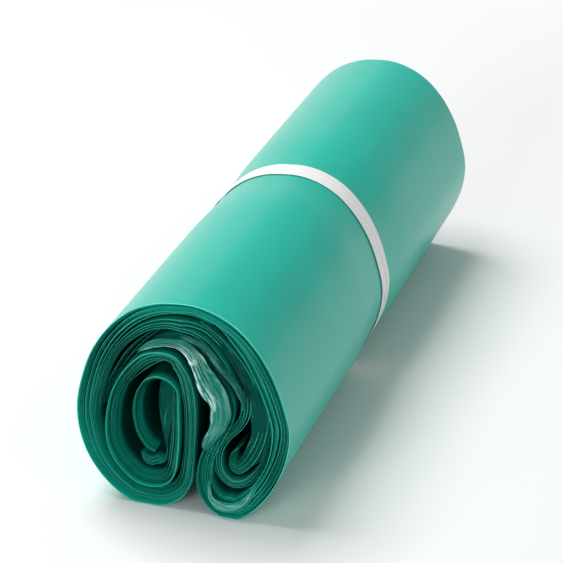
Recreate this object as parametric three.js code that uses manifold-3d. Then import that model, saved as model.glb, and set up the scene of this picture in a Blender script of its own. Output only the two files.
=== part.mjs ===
// A wholesale pack of flat poly mailer bags: one pile of bags, curled in from both ends so that it makes
// two scrolls side by side under one smooth back, and held shut by a strip of film tape round its middle.
// Millimetres, +Z up. Y runs along the pack, X across it, and the pack lies on its two scrolls at Z = 0.
import * as THREE from "three";
import { mergeVertices } from "three/addons/utils/BufferGeometryUtils.js";
import Module from "manifold-3d";

// Overall sizes. The length is the width of one bag.
const packLength = 280;
const packWidth = 96;
const packHeight = 100;

// The pile parts into an outer and an inner sheaf of bags. Where they lie together they overlap by the
// bond, and the inner sheaf's edges stand back a little at both ends of the pack.
const sheafBond = 0.6;
const innerSheafSetback = 1.5;

// The tape, and how far it draws the soft pack in.
const tapeWidth = 11;
const tapeThickness = 0.3;
const tapeClearance = 0.3;
const tapeLapLength = 26;
const waistDepth = 1.3;
const waistRun = 34;

// How finely the curves are stepped.
const samplesPerCurve = 2400;
const stepLength = 6;
const finestStep = 1.1;
const stepAngle = THREE.MathUtils.degToRad(15);
const windingStep = 0.25;

// The left half of the pile's outer face, seen from the front: over the back, down the left flank, under
// the left scroll, up the cleft and over the scroll's shoulder. Each row is a place along the scroll in
// quarter turns from the crown, then x as a share of half the width, then z as a share of the height.
const leftFace = [
  [0.0, 0.0, 1.0],
  [0.25, -0.2, 0.985],
  [0.45, -0.43, 0.935],
  [0.65, -0.65, 0.84],
  [0.8, -0.82, 0.72],
  [0.9, -0.93, 0.585],
  [1.0, -0.995, 0.44],
  [1.15, -0.982, 0.315],
  [1.35, -0.905, 0.195],
  [1.6, -0.76, 0.09],
  [1.8, -0.575, 0.018],
  [1.9, -0.47, 0.0],
  [2.05, -0.26, 0.0],
  [2.2, -0.145, 0.018],
  [2.4, 0.0, 0.075],
  [2.6, 0.07, 0.145],
  [2.8, 0.098, 0.23],
  [3.0, 0.115, 0.32],
  [3.2, 0.13, 0.41],
  [3.4, 0.138, 0.5],
  [3.6, 0.128, 0.58],
  [3.75, 0.09, 0.66],
  [3.9, 0.025, 0.715],
];

// From the shoulder on, the scroll winds inside itself: each place lies inside the one a full turn
// before it, as far in as the pile is thick there, plus the air between the two turns. A place that
// comes nearer than the crowding to the last one is left out, which rounds the eye's top.
const windingStart = 4.14;
const windingEnd = 9.8;
const crowding = 3;
const turnAir = [
  [4.1, 11.6],
  [4.4, 9.4],
  [4.8, 5.0],
  [5.4, 1.6],
  [6.0, 1.4],
  [7.6, 1.2],
  [7.9, 3.4],
  [8.6, 4.4],
  [9.0, 7.6],
  [9.6, 13.0],
];

// By quarter turn: the outer sheaf's thickness, the air between the sheaves, where a negative number is
// the bond, and the inner sheaf's thickness. The bags' ends lie stepped, so the pile gets thinner inwards.
const leftSheaves = [
  [0.0, 5.2, 1.3, 8.6],
  [0.5, 5.4, 0.9, 5.6],
  [0.7, 5.4, -sheafBond, 6.0],
  [1.0, 5.6, -sheafBond, 4.3],
  [2.0, 4.0, -sheafBond, 4.6],
  [2.5, 3.2, -sheafBond, 4.0],
  [3.0, 2.8, -sheafBond, 3.2],
  [3.6, 3.4, -sheafBond, 3.6],
  [4.1, 3.0, -sheafBond, 3.2],
  [5.0, 1.6, -sheafBond, 3.4],
  [6.0, 1.8, -sheafBond, 3.8],
  [7.0, 1.8, -sheafBond, 3.4],
  [7.6, 1.6, -sheafBond, 2.4],
  [8.2, 1.2, -sheafBond, 1.2],
  [10.0, 1.2, -sheafBond, 1.0],
];

// The right half of the outer sheaf's face: down the right flank, under the right scroll, up the cleft,
// then doubled back over the left scroll as a loose tongue. Each row is x and z in the same shares, then
// the sheaf's thickness.
const rightFace = [
  [0.17, 1.0, 5.4],
  [0.365, 0.975, 7.0],
  [0.56, 0.92, 9.0],
  [0.735, 0.827, 9.8],
  [0.865, 0.717, 10.2],
  [0.95, 0.597, 10.0],
  [1.0, 0.47, 9.6],
  [0.975, 0.355, 8.4],
  [0.895, 0.24, 7.6],
  [0.765, 0.125, 7.4],
  [0.62, 0.042, 7.6],
  [0.5, 0.002, 7.8],
  [0.42, -0.004, 8.0],
  [0.34, 0.0, 8.0],
  [0.235, 0.028, 7.8],
  [0.15, 0.082, 7.0],
  [0.112, 0.145, 6.2],
  [0.118, 0.2, 5.8],
  [0.148, 0.27, 5.4],
  [0.2, 0.335, 5.4],
  [0.255, 0.4, 6.0],
  [0.29, 0.46, 7.2],
  [0.285, 0.52, 8.0],
  [0.24, 0.577, 8.2],
  [0.185, 0.63, 7.2],
  [0.15, 0.685, 6.2],
  [0.115, 0.738, 5.2],
  [0.03, 0.777, 4.2],
  [-0.09, 0.787, 3.0],
  [-0.2, 0.779, 2.0],
  [-0.3, 0.757, 1.2],
];

// The right half of the inner sheaf's upper face, in the same form: it leaves the back early, sags beside
// the tongue and curls up at the foot of the right scroll.
const innerFace = [
  [0.13, 0.917, 8.0],
  [0.25, 0.878, 7.0],
  [0.355, 0.825, 6.4],
  [0.44, 0.765, 6.0],
  [0.52, 0.695, 5.6],
  [0.585, 0.625, 5.2],
  [0.612, 0.55, 4.8],
  [0.592, 0.475, 4.4],
  [0.52, 0.413, 4.0],
  [0.425, 0.363, 3.8],
  [0.355, 0.31, 4.0],
  [0.33, 0.25, 4.4],
  [0.352, 0.198, 4.4],
  [0.42, 0.168, 4.2],
  [0.51, 0.176, 3.8],
  [0.58, 0.218, 3.0],
  [0.61, 0.27, 2.0],
];

// A table's values at a place, taken in a straight line between its rows.
function lookUp(table, place) {
  const after = table.findIndex((row) => row[0] >= place);
  if (after === 0) return table[0].slice(1);
  if (after < 0) return table.at(-1).slice(1);
  const low = table[after - 1];
  const high = table[after];
  const share = (place - low[0]) / (high[0] - low[0]);
  return low.slice(1).map((value, i) => THREE.MathUtils.lerp(value, high[i + 1], share));
}

// A section point has x, then height, then a number that it carries along a curve.
const sectionPoint = (x, z, carried) => new THREE.Vector3((x * packWidth) / 2, z * packHeight, carried);
const flat = (point) => new THREE.Vector2(point.x, point.y);
const smoothCurve = (points) => new THREE.CatmullRomCurve3(points, false, "centripetal");

// The unit vector to the right of the way from one section point to another.
function rightOf(from, to) {
  return new THREE.Vector2(to.y - from.y, from.x - to.x).normalize();
}

// The left half of the outer face down to the scroll's eye, as points that carry their quarter turn.
function windLeftFace() {
  const outline = leftFace.map(([turn, x, z]) => sectionPoint(x, z, turn));
  const rows = smoothCurve(outline)
    .getPoints(samplesPerCurve)
    .map((point) => [point.z, point.x, point.y]);
  const wound = [];
  for (let turn = windingStart; turn <= windingEnd; turn += windingStep) {
    const outside = turn - 4;
    const at = new THREE.Vector2(...lookUp(rows, outside));
    const [outer, air, inner] = lookUp(leftSheaves, outside);
    const inward = inwardAt(rows, outside);
    at.addScaledVector(inward, outer + air + inner + lookUp(turnAir, turn)[0]);
    const last = wound.at(-1);
    if (last && at.distanceTo(flat(last)) < crowding) continue;
    wound.push(new THREE.Vector3(at.x, at.y, turn));
    rows.push([turn, at.x, at.y]);
  }
  return { rows, points: [...outline, ...wound] };
}

// The inward direction at a quarter turn of the left face, whose rows run from the crown to the eye.
function inwardAt(rows, turn) {
  const reach = windingStep / 2;
  const before = new THREE.Vector2(...lookUp(rows, turn - reach));
  const after = new THREE.Vector2(...lookUp(rows, turn + reach));
  return rightOf(after, before);
}

// Points along a curve, closer together where it bends.
function stepAlong(curve) {
  const samples = curve.getPoints(samplesPerCurve);
  const kept = [samples[0]];
  let travelled = 0;
  let turned = 0;
  for (let i = 1; i < samples.length - 1; i++) {
    const arriving = flat(samples[i]).sub(flat(samples[i - 1]));
    const leaving = flat(samples[i + 1]).sub(flat(samples[i]));
    travelled += arriving.length();
    turned += Math.abs(Math.atan2(arriving.cross(leaving), arriving.dot(leaving)));
    if (travelled > stepLength || (turned > stepAngle && travelled > finestStep)) {
      kept.push(samples[i]);
      travelled = 0;
      turned = 0;
    }
  }
  kept.push(samples.at(-1));
  return kept;
}

// Where the pack lies, its own weight presses it flat.
const pressed = (point) => new THREE.Vector3(point.x, Math.max(point.y, 0), point.z);

// The outline of a sheaf: its face along a smooth curve, and its other side as far to the right of that
// as the thickness that the curve carries.
function sheafOutline(keys) {
  const face = stepAlong(smoothCurve(keys)).map(pressed);
  const back = face.map((point, i) => {
    const from = face[Math.max(i - 1, 0)];
    const to = face[Math.min(i + 1, face.length - 1)];
    const across = rightOf(from, point).add(rightOf(point, to)).normalize();
    return flat(point).addScaledVector(across, point.z);
  });
  return { face: face.map(flat), back };
}

// How much of the waist's depth is there, from 1 under the tape to 0 where the waist has run out.
function waistShare(y) {
  return 1 - THREE.MathUtils.smoothstep(Math.abs(y), tapeWidth / 2, tapeWidth / 2 + waistRun);
}

// A section point drawn in towards the pack's middle line by a share of the waist's depth.
function drawnIn(x, z, share) {
  const middle = packHeight / 2;
  const narrowed = x * (1 - (share * waistDepth) / (packWidth / 2));
  const lowered = middle + (z - middle) * (1 - (share * waistDepth) / middle);
  return [narrowed, lowered];
}

const wasm = await Module();
wasm.setup();

// A closed geometry as a solid that can be joined to others.
function solidOf(geometry) {
  geometry.deleteAttribute("normal");
  geometry.deleteAttribute("uv");
  const merged = mergeVertices(geometry);
  const vertProperties = new Float32Array(merged.attributes.position.array);
  const triVerts = new Uint32Array(merged.index.array);
  return new wasm.Manifold(new wasm.Mesh({ numProp: 3, vertProperties, triVerts }));
}

// A section drawn out along the pack from one end to the other, a little narrower at the waist.
function drawOut(shape, length) {
  const half = [tapeWidth / 2, tapeWidth / 2 + waistRun / 2, tapeWidth / 2 + waistRun, length / 2];
  const stations = [...half.map((y) => -y).reverse(), ...half];
  const steps = stations.length - 1;
  const geometry = new THREE.ExtrudeGeometry(shape, { depth: steps, steps, bevelEnabled: false });
  geometry.rotateX(Math.PI / 2);
  const position = geometry.attributes.position;
  for (let i = 0; i < position.count; i++) {
    const y = -stations[Math.round(-position.getY(i))];
    const [x, z] = drawnIn(position.getX(i), position.getZ(i), waistShare(y));
    position.setXYZ(i, x, y, z);
  }
  return geometry;
}

// One sheaf of bags as a solid.
function sheafSolid({ face, back }, length) {
  return solidOf(drawOut(new THREE.Shape([...face, ...back.toReversed()]), length));
}

// The outer corners of a set of section points, anticlockwise, which is the way of a taut tape.
function tautLine(points) {
  const sorted = points.toSorted((a, b) => a.x - b.x || a.y - b.y);
  const chain = (list) => {
    const kept = [];
    for (const point of list) {
      while (kept.length > 1 && turnsRight(kept.at(-2), kept.at(-1), point)) kept.pop();
      kept.push(point);
    }
    return kept.slice(0, -1);
  };
  return [...chain(sorted), ...chain(sorted.toReversed())];
}

function turnsRight(a, b, c) {
  return b.clone().sub(a).cross(c.clone().sub(b)) <= 0;
}

// An anticlockwise convex outline with every side moved out by a distance.
function grown(outline, distance) {
  return outline.map((corner, i) => {
    const before = rightOf(outline.at(i - 1), corner);
    const after = rightOf(corner, outline[(i + 1) % outline.length]);
    const mitre = before.clone().add(after);
    return corner.clone().addScaledVector(mitre, distance / (1 + before.dot(after)));
  });
}

// The tape: a closed band round the waist, straight across the cleft below, with its end lapped over
// its start there.
function tapeSolid(packOutline) {
  const waist = packOutline.map(({ x, y }) => new THREE.Vector2(...drawnIn(x, y, 1)));
  const line = tautLine(waist);
  const band = new THREE.Shape(grown(line, tapeClearance + tapeThickness));
  band.holes.push(new THREE.Path(grown(line, tapeClearance)));
  const ring = new THREE.ExtrudeGeometry(band, { depth: tapeWidth, bevelEnabled: false });
  ring.rotateX(Math.PI / 2).translate(0, tapeWidth / 2, 0);
  const lap = new THREE.BoxGeometry(tapeLapLength, tapeWidth, 1.5 * tapeThickness);
  const underside = Math.min(...line.map((point) => point.y)) - tapeClearance - tapeThickness;
  lap.translate(0, 0, underside - tapeThickness / 4);
  return solidOf(ring).add(solidOf(lap));
}

// A solid as a named mesh.
function namedMesh(name, solid, material) {
  const { vertProperties, triVerts } = solid.getMesh();
  const geometry = new THREE.BufferGeometry();
  geometry.setAttribute("position", new THREE.BufferAttribute(vertProperties, 3));
  geometry.setIndex(new THREE.BufferAttribute(triVerts, 1));
  geometry.computeVertexNormals();
  const mesh = new THREE.Mesh(geometry, material);
  mesh.name = name;
  return mesh;
}

// The two sheaves, each as one run of points from the left scroll's eye over the back to its right end.
const { rows: leftRows, points: leftPoints } = windLeftFace();
const leftKeys = leftPoints.toReversed();
const outerKeys = leftKeys.map(({ x, y, z: turn }) => {
  return new THREE.Vector3(x, y, lookUp(leftSheaves, turn)[0]);
});
const innerKeys = leftKeys.map(({ x, y, z: turn }) => {
  const [outer, air, inner] = lookUp(leftSheaves, turn);
  const at = new THREE.Vector2(x, y).addScaledVector(inwardAt(leftRows, turn), outer + air);
  return new THREE.Vector3(at.x, at.y, inner);
});
const outerSheaf = sheafOutline([...outerKeys, ...rightFace.map((row) => sectionPoint(...row))]);
const innerSheaf = sheafOutline([...innerKeys, ...innerFace.map((row) => sectionPoint(...row))]);

const film = new THREE.MeshStandardMaterial({ color: 0x3cb9a5, roughness: 0.35, metalness: 0 });
const tapeFilm = new THREE.MeshStandardMaterial({ color: 0xf1f3f1, roughness: 0.3, metalness: 0 });

const pile = sheafSolid(outerSheaf, packLength).add(
  sheafSolid(innerSheaf, packLength - 2 * innerSheafSetback),
);
const group = new THREE.Group();
group.add(namedMesh("bag_roll", pile, film));
group.add(namedMesh("tape_band", tapeSolid(outerSheaf.face), tapeFilm));

export default group;
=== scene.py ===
"""A rolled pack of flat poly mailer bags, held shut by a strip of white film tape round its middle.

The pile of bags is curled in from both ends, so that it makes two scrolls side by side under one smooth
back. Every group of bags is a stack of thin leaves that follows one path through the pack's section. The
paths are worked out here from the same outline, sheaf thicknesses and air gaps as the frame's solid.
Metres, +Z up. Y runs along the pack, and -Y is the end that faces the camera.
"""
import enum
import logging
import math
from collections.abc import Callable, Sequence
from dataclasses import dataclass

import bpy
import numpy as np
from mathutils import Matrix, Vector


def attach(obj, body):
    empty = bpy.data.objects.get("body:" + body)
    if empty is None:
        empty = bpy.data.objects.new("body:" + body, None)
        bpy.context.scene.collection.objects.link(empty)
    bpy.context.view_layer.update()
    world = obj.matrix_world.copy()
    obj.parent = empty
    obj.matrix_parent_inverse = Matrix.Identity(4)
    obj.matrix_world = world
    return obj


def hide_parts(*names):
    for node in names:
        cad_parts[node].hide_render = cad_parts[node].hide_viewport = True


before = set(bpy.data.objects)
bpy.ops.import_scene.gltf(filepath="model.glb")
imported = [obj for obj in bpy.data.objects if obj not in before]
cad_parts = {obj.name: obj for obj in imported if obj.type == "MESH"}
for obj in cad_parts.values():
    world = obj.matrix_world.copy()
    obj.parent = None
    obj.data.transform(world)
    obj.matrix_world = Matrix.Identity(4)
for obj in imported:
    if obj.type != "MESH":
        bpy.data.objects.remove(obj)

LOG = logging.getLogger("mailer_pack")
Row = tuple[float, ...]
Table = tuple[Row, ...]

PACK_BODY = "root"
ROLL_NODE = "bag_roll"
TAPE_NODE = "tape_band"
MILLIMETRE = 0.001
FULL_TURN = 4
LEAF_ROUNDING = 0.0012
WHITE: Row = (1.0, 1.0, 1.0, 1.0)


class Slot(enum.Enum):
    """The record's material slots."""

    FILM = "bag_film"
    TAPE = "tape_film"


class Sheaf(enum.Enum):
    """The two runs of bags that the pile parts into."""

    OUTER = "outer"
    INNER = "inner"


@dataclass(frozen=True)
class PackSize:
    """The driving sizes, which are the frame's own.

    Attributes:
        length: along the pack, which is the width of one bag.
        half_width: half the distance across both scrolls.
        height: from the floor to the crown.
        tape_width: the tape's width.
        waist_depth: how far the tape draws the soft pack in.
        waist_run: how far along the pack the waist runs out.
    """

    length: float = 0.28
    half_width: float = 0.048
    height: float = 0.1
    tape_width: float = 0.011
    waist_depth: float = 0.0013
    waist_run: float = 0.034

    def drawn_in(self, points: np.ndarray) -> np.ndarray:
        """Section points as they lie under the tape, drawn in towards the pack's middle line."""
        middle = self.height / 2
        narrowed = points[:, 0] * (1 - self.waist_depth / self.half_width)
        lowered = middle + (points[:, 1] - middle) * (1 - self.waist_depth / middle)
        return np.column_stack([narrowed, lowered])


def look_up(table: Sequence[Row], place: float) -> np.ndarray:
    """A table's values at a place, taken in a straight line between its rows.

    Args:
        table: rows of a place and then the values there, in order of place.
        place: where to read it.

    Returns:
        The values, without the place.
    """
    rows = np.asarray(table, float)
    return np.array([np.interp(place, rows[:, 0], column) for column in rows[:, 1:].T])


def smooth_curve(points: np.ndarray, steps: int) -> np.ndarray:
    """A centripetal Catmull-Rom curve through points, whose first two columns are x and z.

    Args:
        points: one row for each point, with any number of carried columns after x and z.
        steps: how many steps each stretch between two points gets.

    Returns:
        The curve's points, with their carried columns.
    """
    first = 2 * points[0] - points[1]
    last = 2 * points[-1] - points[-2]
    padded = np.vstack([first, points, last])
    knots = np.concatenate([[0.0], np.cumsum(np.linalg.norm(np.diff(padded[:, :2], axis=0), axis=1) ** 0.5)])
    curve = [points[:1]]
    for i in range(1, len(padded) - 2):
        t0, t1, t2, t3 = knots[i - 1 : i + 3]
        p0, p1, p2, p3 = padded[i - 1 : i + 3]
        t = np.linspace(t1, t2, steps + 1)[1:, None]
        a1 = (t1 - t) / (t1 - t0) * p0 + (t - t0) / (t1 - t0) * p1
        a2 = (t2 - t) / (t2 - t1) * p1 + (t - t1) / (t2 - t1) * p2
        a3 = (t3 - t) / (t3 - t2) * p2 + (t - t2) / (t3 - t2) * p3
        b1 = (t2 - t) / (t2 - t0) * a1 + (t - t0) / (t2 - t0) * a2
        b2 = (t3 - t) / (t3 - t1) * a2 + (t - t1) / (t3 - t1) * a3
        curve.append((t2 - t) / (t2 - t1) * b1 + (t - t1) / (t2 - t1) * b2)
    return np.vstack(curve)


def travelled(points: np.ndarray) -> np.ndarray:
    """How far along a path each of its points is, from its first two columns."""
    return np.concatenate([[0.0], np.cumsum(np.linalg.norm(np.diff(points[:, :2], axis=0), axis=1))])


def right_of(path: np.ndarray, reach: float) -> np.ndarray:
    """The unit vectors to the right of the way along a path.

    Args:
        path: points with x and z in the first two columns.
        reach: how far ahead and behind the direction is taken from, which smooths it.

    Returns:
        One unit vector for each point.
    """
    along = travelled(path)
    ahead = np.column_stack([np.interp(along + reach, along, column) for column in path[:, :2].T])
    behind = np.column_stack([np.interp(along - reach, along, column) for column in path[:, :2].T])
    way = ahead - behind
    right = np.column_stack([way[:, 1], -way[:, 0]])
    return right / np.linalg.norm(right, axis=1, keepdims=True)


@dataclass(frozen=True)
class PileSection:
    """The pile's section, seen from the front: two sheaves that run from the left scroll's eye to the right.

    A place along the pile is counted in quarter turns from the crown, below zero to the left. From the left
    scroll's shoulder on, each place lies inside the one a full turn before it, as far in as the pile is
    thick there, plus the air between the two turns. The eye, where few bags are left, has its own rows in
    millimetres. Thicknesses are in millimetres too.

    Attributes:
        size: the pack's sizes.
        left_face: rows of place, then x in half widths and z in heights of the left half's outer face.
        turn_air: rows of place, then the air between a turn and the one outside it.
        left_sheaves: rows of place, then how thick the outer sheaf, the air and the inner sheaf are.
        right_face: rows of place, then x, z and the thickness of the right half's outer sheaf.
        inner_face: rows of place, then x, z and the thickness of its inner sheaf.
        eye_face: rows of place, then x and z round the left scroll's eye.
        winding_start: the place where the winding inside the first turn starts.
        winding_end: the place where it ends.
        winding_step: how far apart its points are.
        crowding: how close in space two of them may lie, before the second is left out.
        steps: how many steps each stretch between two points of a path gets.
    """

    size: PackSize
    left_face: Table = (
        (0.0, 0.0, 1.0), (0.25, -0.2, 0.985), (0.45, -0.43, 0.935), (0.65, -0.65, 0.84), (0.8, -0.82, 0.72),
        (0.9, -0.93, 0.585), (1.0, -0.995, 0.44), (1.15, -0.982, 0.315), (1.35, -0.905, 0.195),
        (1.6, -0.76, 0.09), (1.8, -0.575, 0.018), (1.9, -0.47, 0.0), (2.05, -0.26, 0.0),
        (2.2, -0.145, 0.018), (2.4, 0.0, 0.075), (2.6, 0.07, 0.145), (2.8, 0.098, 0.23), (3.0, 0.115, 0.32),
        (3.2, 0.13, 0.41), (3.4, 0.138, 0.5), (3.6, 0.128, 0.58), (3.75, 0.09, 0.66), (3.9, 0.025, 0.715),
    )
    turn_air: Table = (
        (4.1, 11.6), (4.4, 9.4), (4.8, 5.0), (5.4, 1.6), (6.0, 1.4), (7.6, 1.2), (7.9, 3.4), (8.6, 4.4),
        (9.0, 7.6), (9.6, 13.0),
    )
    left_sheaves: Table = (
        (0.0, 5.2, 1.3, 8.6), (0.5, 5.4, 0.9, 5.6), (0.7, 5.4, 0.7, 4.7), (1.0, 5.6, 0.3, 3.4),
        (1.3, 5.1, 0.2, 3.6), (2.0, 4.0, 0.0, 4.2), (2.5, 3.2, 0.0, 3.6), (3.0, 2.8, 0.0, 2.8),
        (3.6, 3.4, 0.0, 3.2), (4.1, 3.0, 0.0, 2.8), (5.0, 1.6, 0.0, 3.0), (6.0, 1.8, 0.0, 3.4),
        (7.0, 1.8, 0.0, 3.0), (7.6, 1.6, 0.0, 2.0), (8.2, 1.2, 0.0, 0.8), (10.0, 1.2, 0.0, 0.6),
    )
    right_face: Table = (
        (0.15, 0.17, 1.0, 5.4), (0.35, 0.365, 0.975, 7.0), (0.52, 0.56, 0.92, 9.0),
        (0.68, 0.735, 0.827, 9.8), (0.8, 0.865, 0.717, 10.2), (0.9, 0.95, 0.597, 10.0),
        (1.0, 1.0, 0.47, 9.6), (1.15, 0.975, 0.355, 8.4), (1.3, 0.895, 0.24, 7.6), (1.5, 0.765, 0.125, 7.4),
        (1.75, 0.62, 0.042, 7.6), (1.9, 0.5, 0.002, 7.8), (2.0, 0.42, -0.004, 8.0), (2.15, 0.34, 0.0, 8.0),
        (2.35, 0.235, 0.028, 7.8), (2.6, 0.15, 0.082, 7.0), (2.8, 0.112, 0.145, 6.2), (2.9, 0.118, 0.2, 5.8),
        (3.0, 0.148, 0.27, 5.4), (3.1, 0.2, 0.335, 5.4), (3.2, 0.255, 0.4, 6.0), (3.3, 0.29, 0.46, 7.2),
        (3.4, 0.285, 0.52, 8.0), (3.5, 0.24, 0.577, 8.2), (3.6, 0.185, 0.63, 7.2), (3.7, 0.15, 0.685, 6.2),
        (3.8, 0.115, 0.738, 5.2), (3.95, 0.03, 0.777, 4.2), (4.1, -0.09, 0.787, 3.0),
        (4.25, -0.2, 0.779, 2.0), (4.4, -0.3, 0.757, 1.2),
    )
    inner_face: Table = (
        (0.15, 0.13, 0.917, 8.0), (0.3, 0.25, 0.878, 7.0), (0.4, 0.355, 0.825, 6.4), (0.5, 0.44, 0.765, 6.0),
        (0.6, 0.52, 0.695, 5.6), (0.75, 0.585, 0.625, 5.2), (1.0, 0.612, 0.55, 4.8),
        (1.2, 0.592, 0.475, 4.4), (1.35, 0.52, 0.413, 4.0), (1.5, 0.425, 0.363, 3.8),
        (1.7, 0.355, 0.31, 4.0), (2.0, 0.33, 0.25, 4.4), (2.2, 0.352, 0.198, 4.4), (2.5, 0.42, 0.168, 4.2),
        (2.7, 0.51, 0.176, 3.8), (2.9, 0.6, 0.215, 3.2), (3.1, 0.69, 0.285, 2.4), (3.25, 0.73, 0.36, 1.6),
    )
    eye_face: Table = (
        (7.7, -0.9, 57.5), (7.85, -2.6, 61.0), (8.0, -6.0, 63.4), (8.15, -11.0, 64.0), (8.35, -15.4, 61.8),
        (8.5, -18.6, 57.8), (8.7, -20.9, 52.5), (8.9, -22.0, 47.0), (9.1, -22.0, 41.5), (9.3, -21.0, 36.0),
        (9.5, -19.0, 31.5), (9.65, -16.2, 28.0), (9.8, -13.0, 26.6),
    )
    winding_start: float = 4.14
    winding_end: float = 7.45
    winding_step: float = 0.25
    crowding: float = 0.003
    steps: int = 40

    def key_points(self, table: Table) -> np.ndarray:
        """A table's rows as x and z in metres, then thickness where it has one, then place."""
        rows = np.asarray(table, float)
        scaled = rows[:, 1:3] * [self.size.half_width, self.size.height]
        return np.column_stack([scaled, rows[:, 3:] * MILLIMETRE, rows[:, 0]])

    def wound_left(self) -> tuple[list[Row], np.ndarray]:
        """Winds the left half of the outer face down to the scroll's eye.

        Returns:
            Fine rows of turn, x and z, and the key points as x, z and turn.
        """
        outline = self.key_points(self.left_face)
        rows = [tuple(row) for row in smooth_curve(outline, self.steps)[:, [2, 0, 1]]]
        wound: list[np.ndarray] = []
        for turn in np.arange(self.winding_start, self.winding_end, self.winding_step):
            outside = turn - FULL_TURN
            outer, air, inner = look_up(self.left_sheaves, outside)
            inwards = (outer + air + inner + look_up(self.turn_air, turn)[0]) * MILLIMETRE
            at = look_up(rows, outside) + self.inward(rows, outside) * inwards
            if wound and np.linalg.norm(at - wound[-1][:2]) < self.crowding:
                continue
            wound.append(np.array([*at, turn]))
            rows.append((turn, *at))
        eye = [(turn, x * MILLIMETRE, z * MILLIMETRE) for turn, x, z in self.eye_face]
        wound += [np.array([x, z, turn]) for turn, x, z in eye]
        return [*rows, *eye], np.vstack([outline, *wound])

    def inward(self, rows: Sequence[Row], turn: float) -> np.ndarray:
        """The inward direction at a quarter turn of the left face."""
        reach = self.winding_step / 2
        way = look_up(rows, turn - reach) - look_up(rows, turn + reach)
        right = np.array([way[1], -way[0]])
        return right / np.linalg.norm(right)

    def sheaf_path(self, sheaf: Sheaf) -> np.ndarray:
        """A sheaf's outer face from the left scroll's eye to the sheaf's right end.

        Args:
            sheaf: which of the two.

        Returns:
            Close points as x, z, thickness and place, pressed flat where the pack stands.
        """
        rows, left = self.wound_left()
        keys = []
        for x, z, turn in left[::-1]:
            outer, air, inner = look_up(self.left_sheaves, turn) * MILLIMETRE
            if sheaf is Sheaf.OUTER:
                keys.append((x, z, outer, -turn))
                continue
            across = self.inward(rows, turn) * (outer + air)
            keys.append((x + across[0], z + across[1], inner, -turn))
        right = self.right_face if sheaf is Sheaf.OUTER else self.inner_face
        path = smooth_curve(np.vstack([keys, self.key_points(right)]), self.steps)
        path[:, 1] = np.maximum(path[:, 1], 0)
        return path


def upright(flat: np.ndarray) -> np.ndarray:
    """Section points or vectors as rows of x, y and z."""
    return np.column_stack([flat[:, 0], np.zeros(len(flat)), flat[:, 1]])


def guide_mesh(
    name: str, points: np.ndarray, vectors: dict[str, np.ndarray], values: dict[str, Sequence[float]]
) -> bpy.types.Mesh:
    """A chain of edges that carries vectors and numbers at its points.

    Args:
        name: the mesh's name.
        points: rows of x, y and z.
        vectors: rows of three numbers by the attribute's name.
        values: single numbers by the attribute's name.

    Returns:
        The mesh.
    """
    mesh = bpy.data.meshes.new(name)
    mesh.from_pydata(points.tolist(), [(i, i + 1) for i in range(len(points) - 1)], [])
    for label, rows in vectors.items():
        attribute = mesh.attributes.new(label, "FLOAT_VECTOR", "POINT")
        attribute.data.foreach_set("vector", rows.astype(np.float32).ravel())
    for label, column in values.items():
        put_values(mesh, label, column)
    return mesh


@dataclass(frozen=True)
class Band:
    """Which part of a sheaf a stack of leaves fills, and how its leaves behave along the way.

    Attributes:
        edges: rows of place, then the band's outer and inner edge as shares of the sheaf's thickness.
        slack: rows of place, then how far the leaves stray from an even spacing, as a share of the band.
        lean: rows of place, then how far the band's inner edge is set back behind its outer one.
        crumple: rows of place, then how far the leaves' ends are crumpled out of their path.
        retreat: rows of place, then how far the whole band is set back there.
        loose: rows of place, then how much of the leaves' thickness is given up to the gaps, mostly by
            each bundle's innermost leaf.
        shade: rows of place, then how far the film takes on painted shade away from its ends, deep in the
            roll.
        gleam: rows of place, then how bright the painted highlight on the ends' outer edges is.
        dim: rows of place, then how much painted shade darkens the ends.
    """

    edges: Table = ((0.0, 0.0, 1.0),)
    slack: Table = ((0.0, 0.12),)
    lean: Table = ((0.0, 0.0),)
    crumple: Table = ((0.0, 0.0001),)
    retreat: Table = ((0.0, 0.0),)
    loose: Table = ((0.0, 0.2),)
    shade: Table = ((0.0, 1.0),)
    gleam: Table = ((0.0, 1.0),)
    dim: Table = ((0.0, 0.5),)


TRAITS = ("slack", "lean", "crumple", "retreat", "loose", "shade", "gleam", "dim")


@dataclass(frozen=True)
class GuidePath:
    """The path of one stack of leaves, from which its guide mesh is made.

    Attributes:
        path: x, z, thickness and place along the way.
        band: the band that the stack fills.
        step: the longest step along the guide.
        finest: the shortest one, in the tight bends.
        bend: how far the path may turn in a step, in radians.
        bend_reach: how far to each side the path's direction is taken from.
    """

    path: np.ndarray
    band: Band
    step: float = 0.0026
    finest: float = 0.0009
    bend: float = math.radians(6)
    bend_reach: float = 0.003

    def mesh(self, name: str) -> bpy.types.Mesh:
        """The guide as a chain of edges, with what the leaves need to know stored at each point.

        Args:
            name: the mesh's name.

        Returns:
            The mesh, whose points lie on the band's outer edge.
        """
        path = self.path[self.kept()]
        places = path[:, 3]
        across = right_of(path, self.bend_reach)
        edges = np.array([look_up(self.band.edges, place) for place in places]) * path[:, 2:3]
        start = path[:, :2] + across * edges[:, :1]
        width = across * (edges[:, 1:] - edges[:, :1])
        values = {
            trait: [look_up(getattr(self.band, trait), place)[0] for place in places] for trait in TRAITS
        }
        values["along"] = travelled(path)
        return guide_mesh(name, upright(start), {"across": upright(width)}, values)

    def kept(self) -> list[int]:
        """Which of the path's points the guide keeps: more of them where it bends."""
        along = travelled(self.path)
        way = np.diff(self.path[:, :2], axis=0)
        heading = np.unwrap(np.arctan2(way[:, 1], way[:, 0]))
        kept = [0]
        for i in range(1, len(self.path) - 1):
            run = along[i] - along[kept[-1]]
            turned = abs(heading[i] - heading[kept[-1]])
            if run > self.step or (turned > self.bend and run > self.finest):
                kept.append(i)
        return [*kept, len(self.path) - 1]


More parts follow.
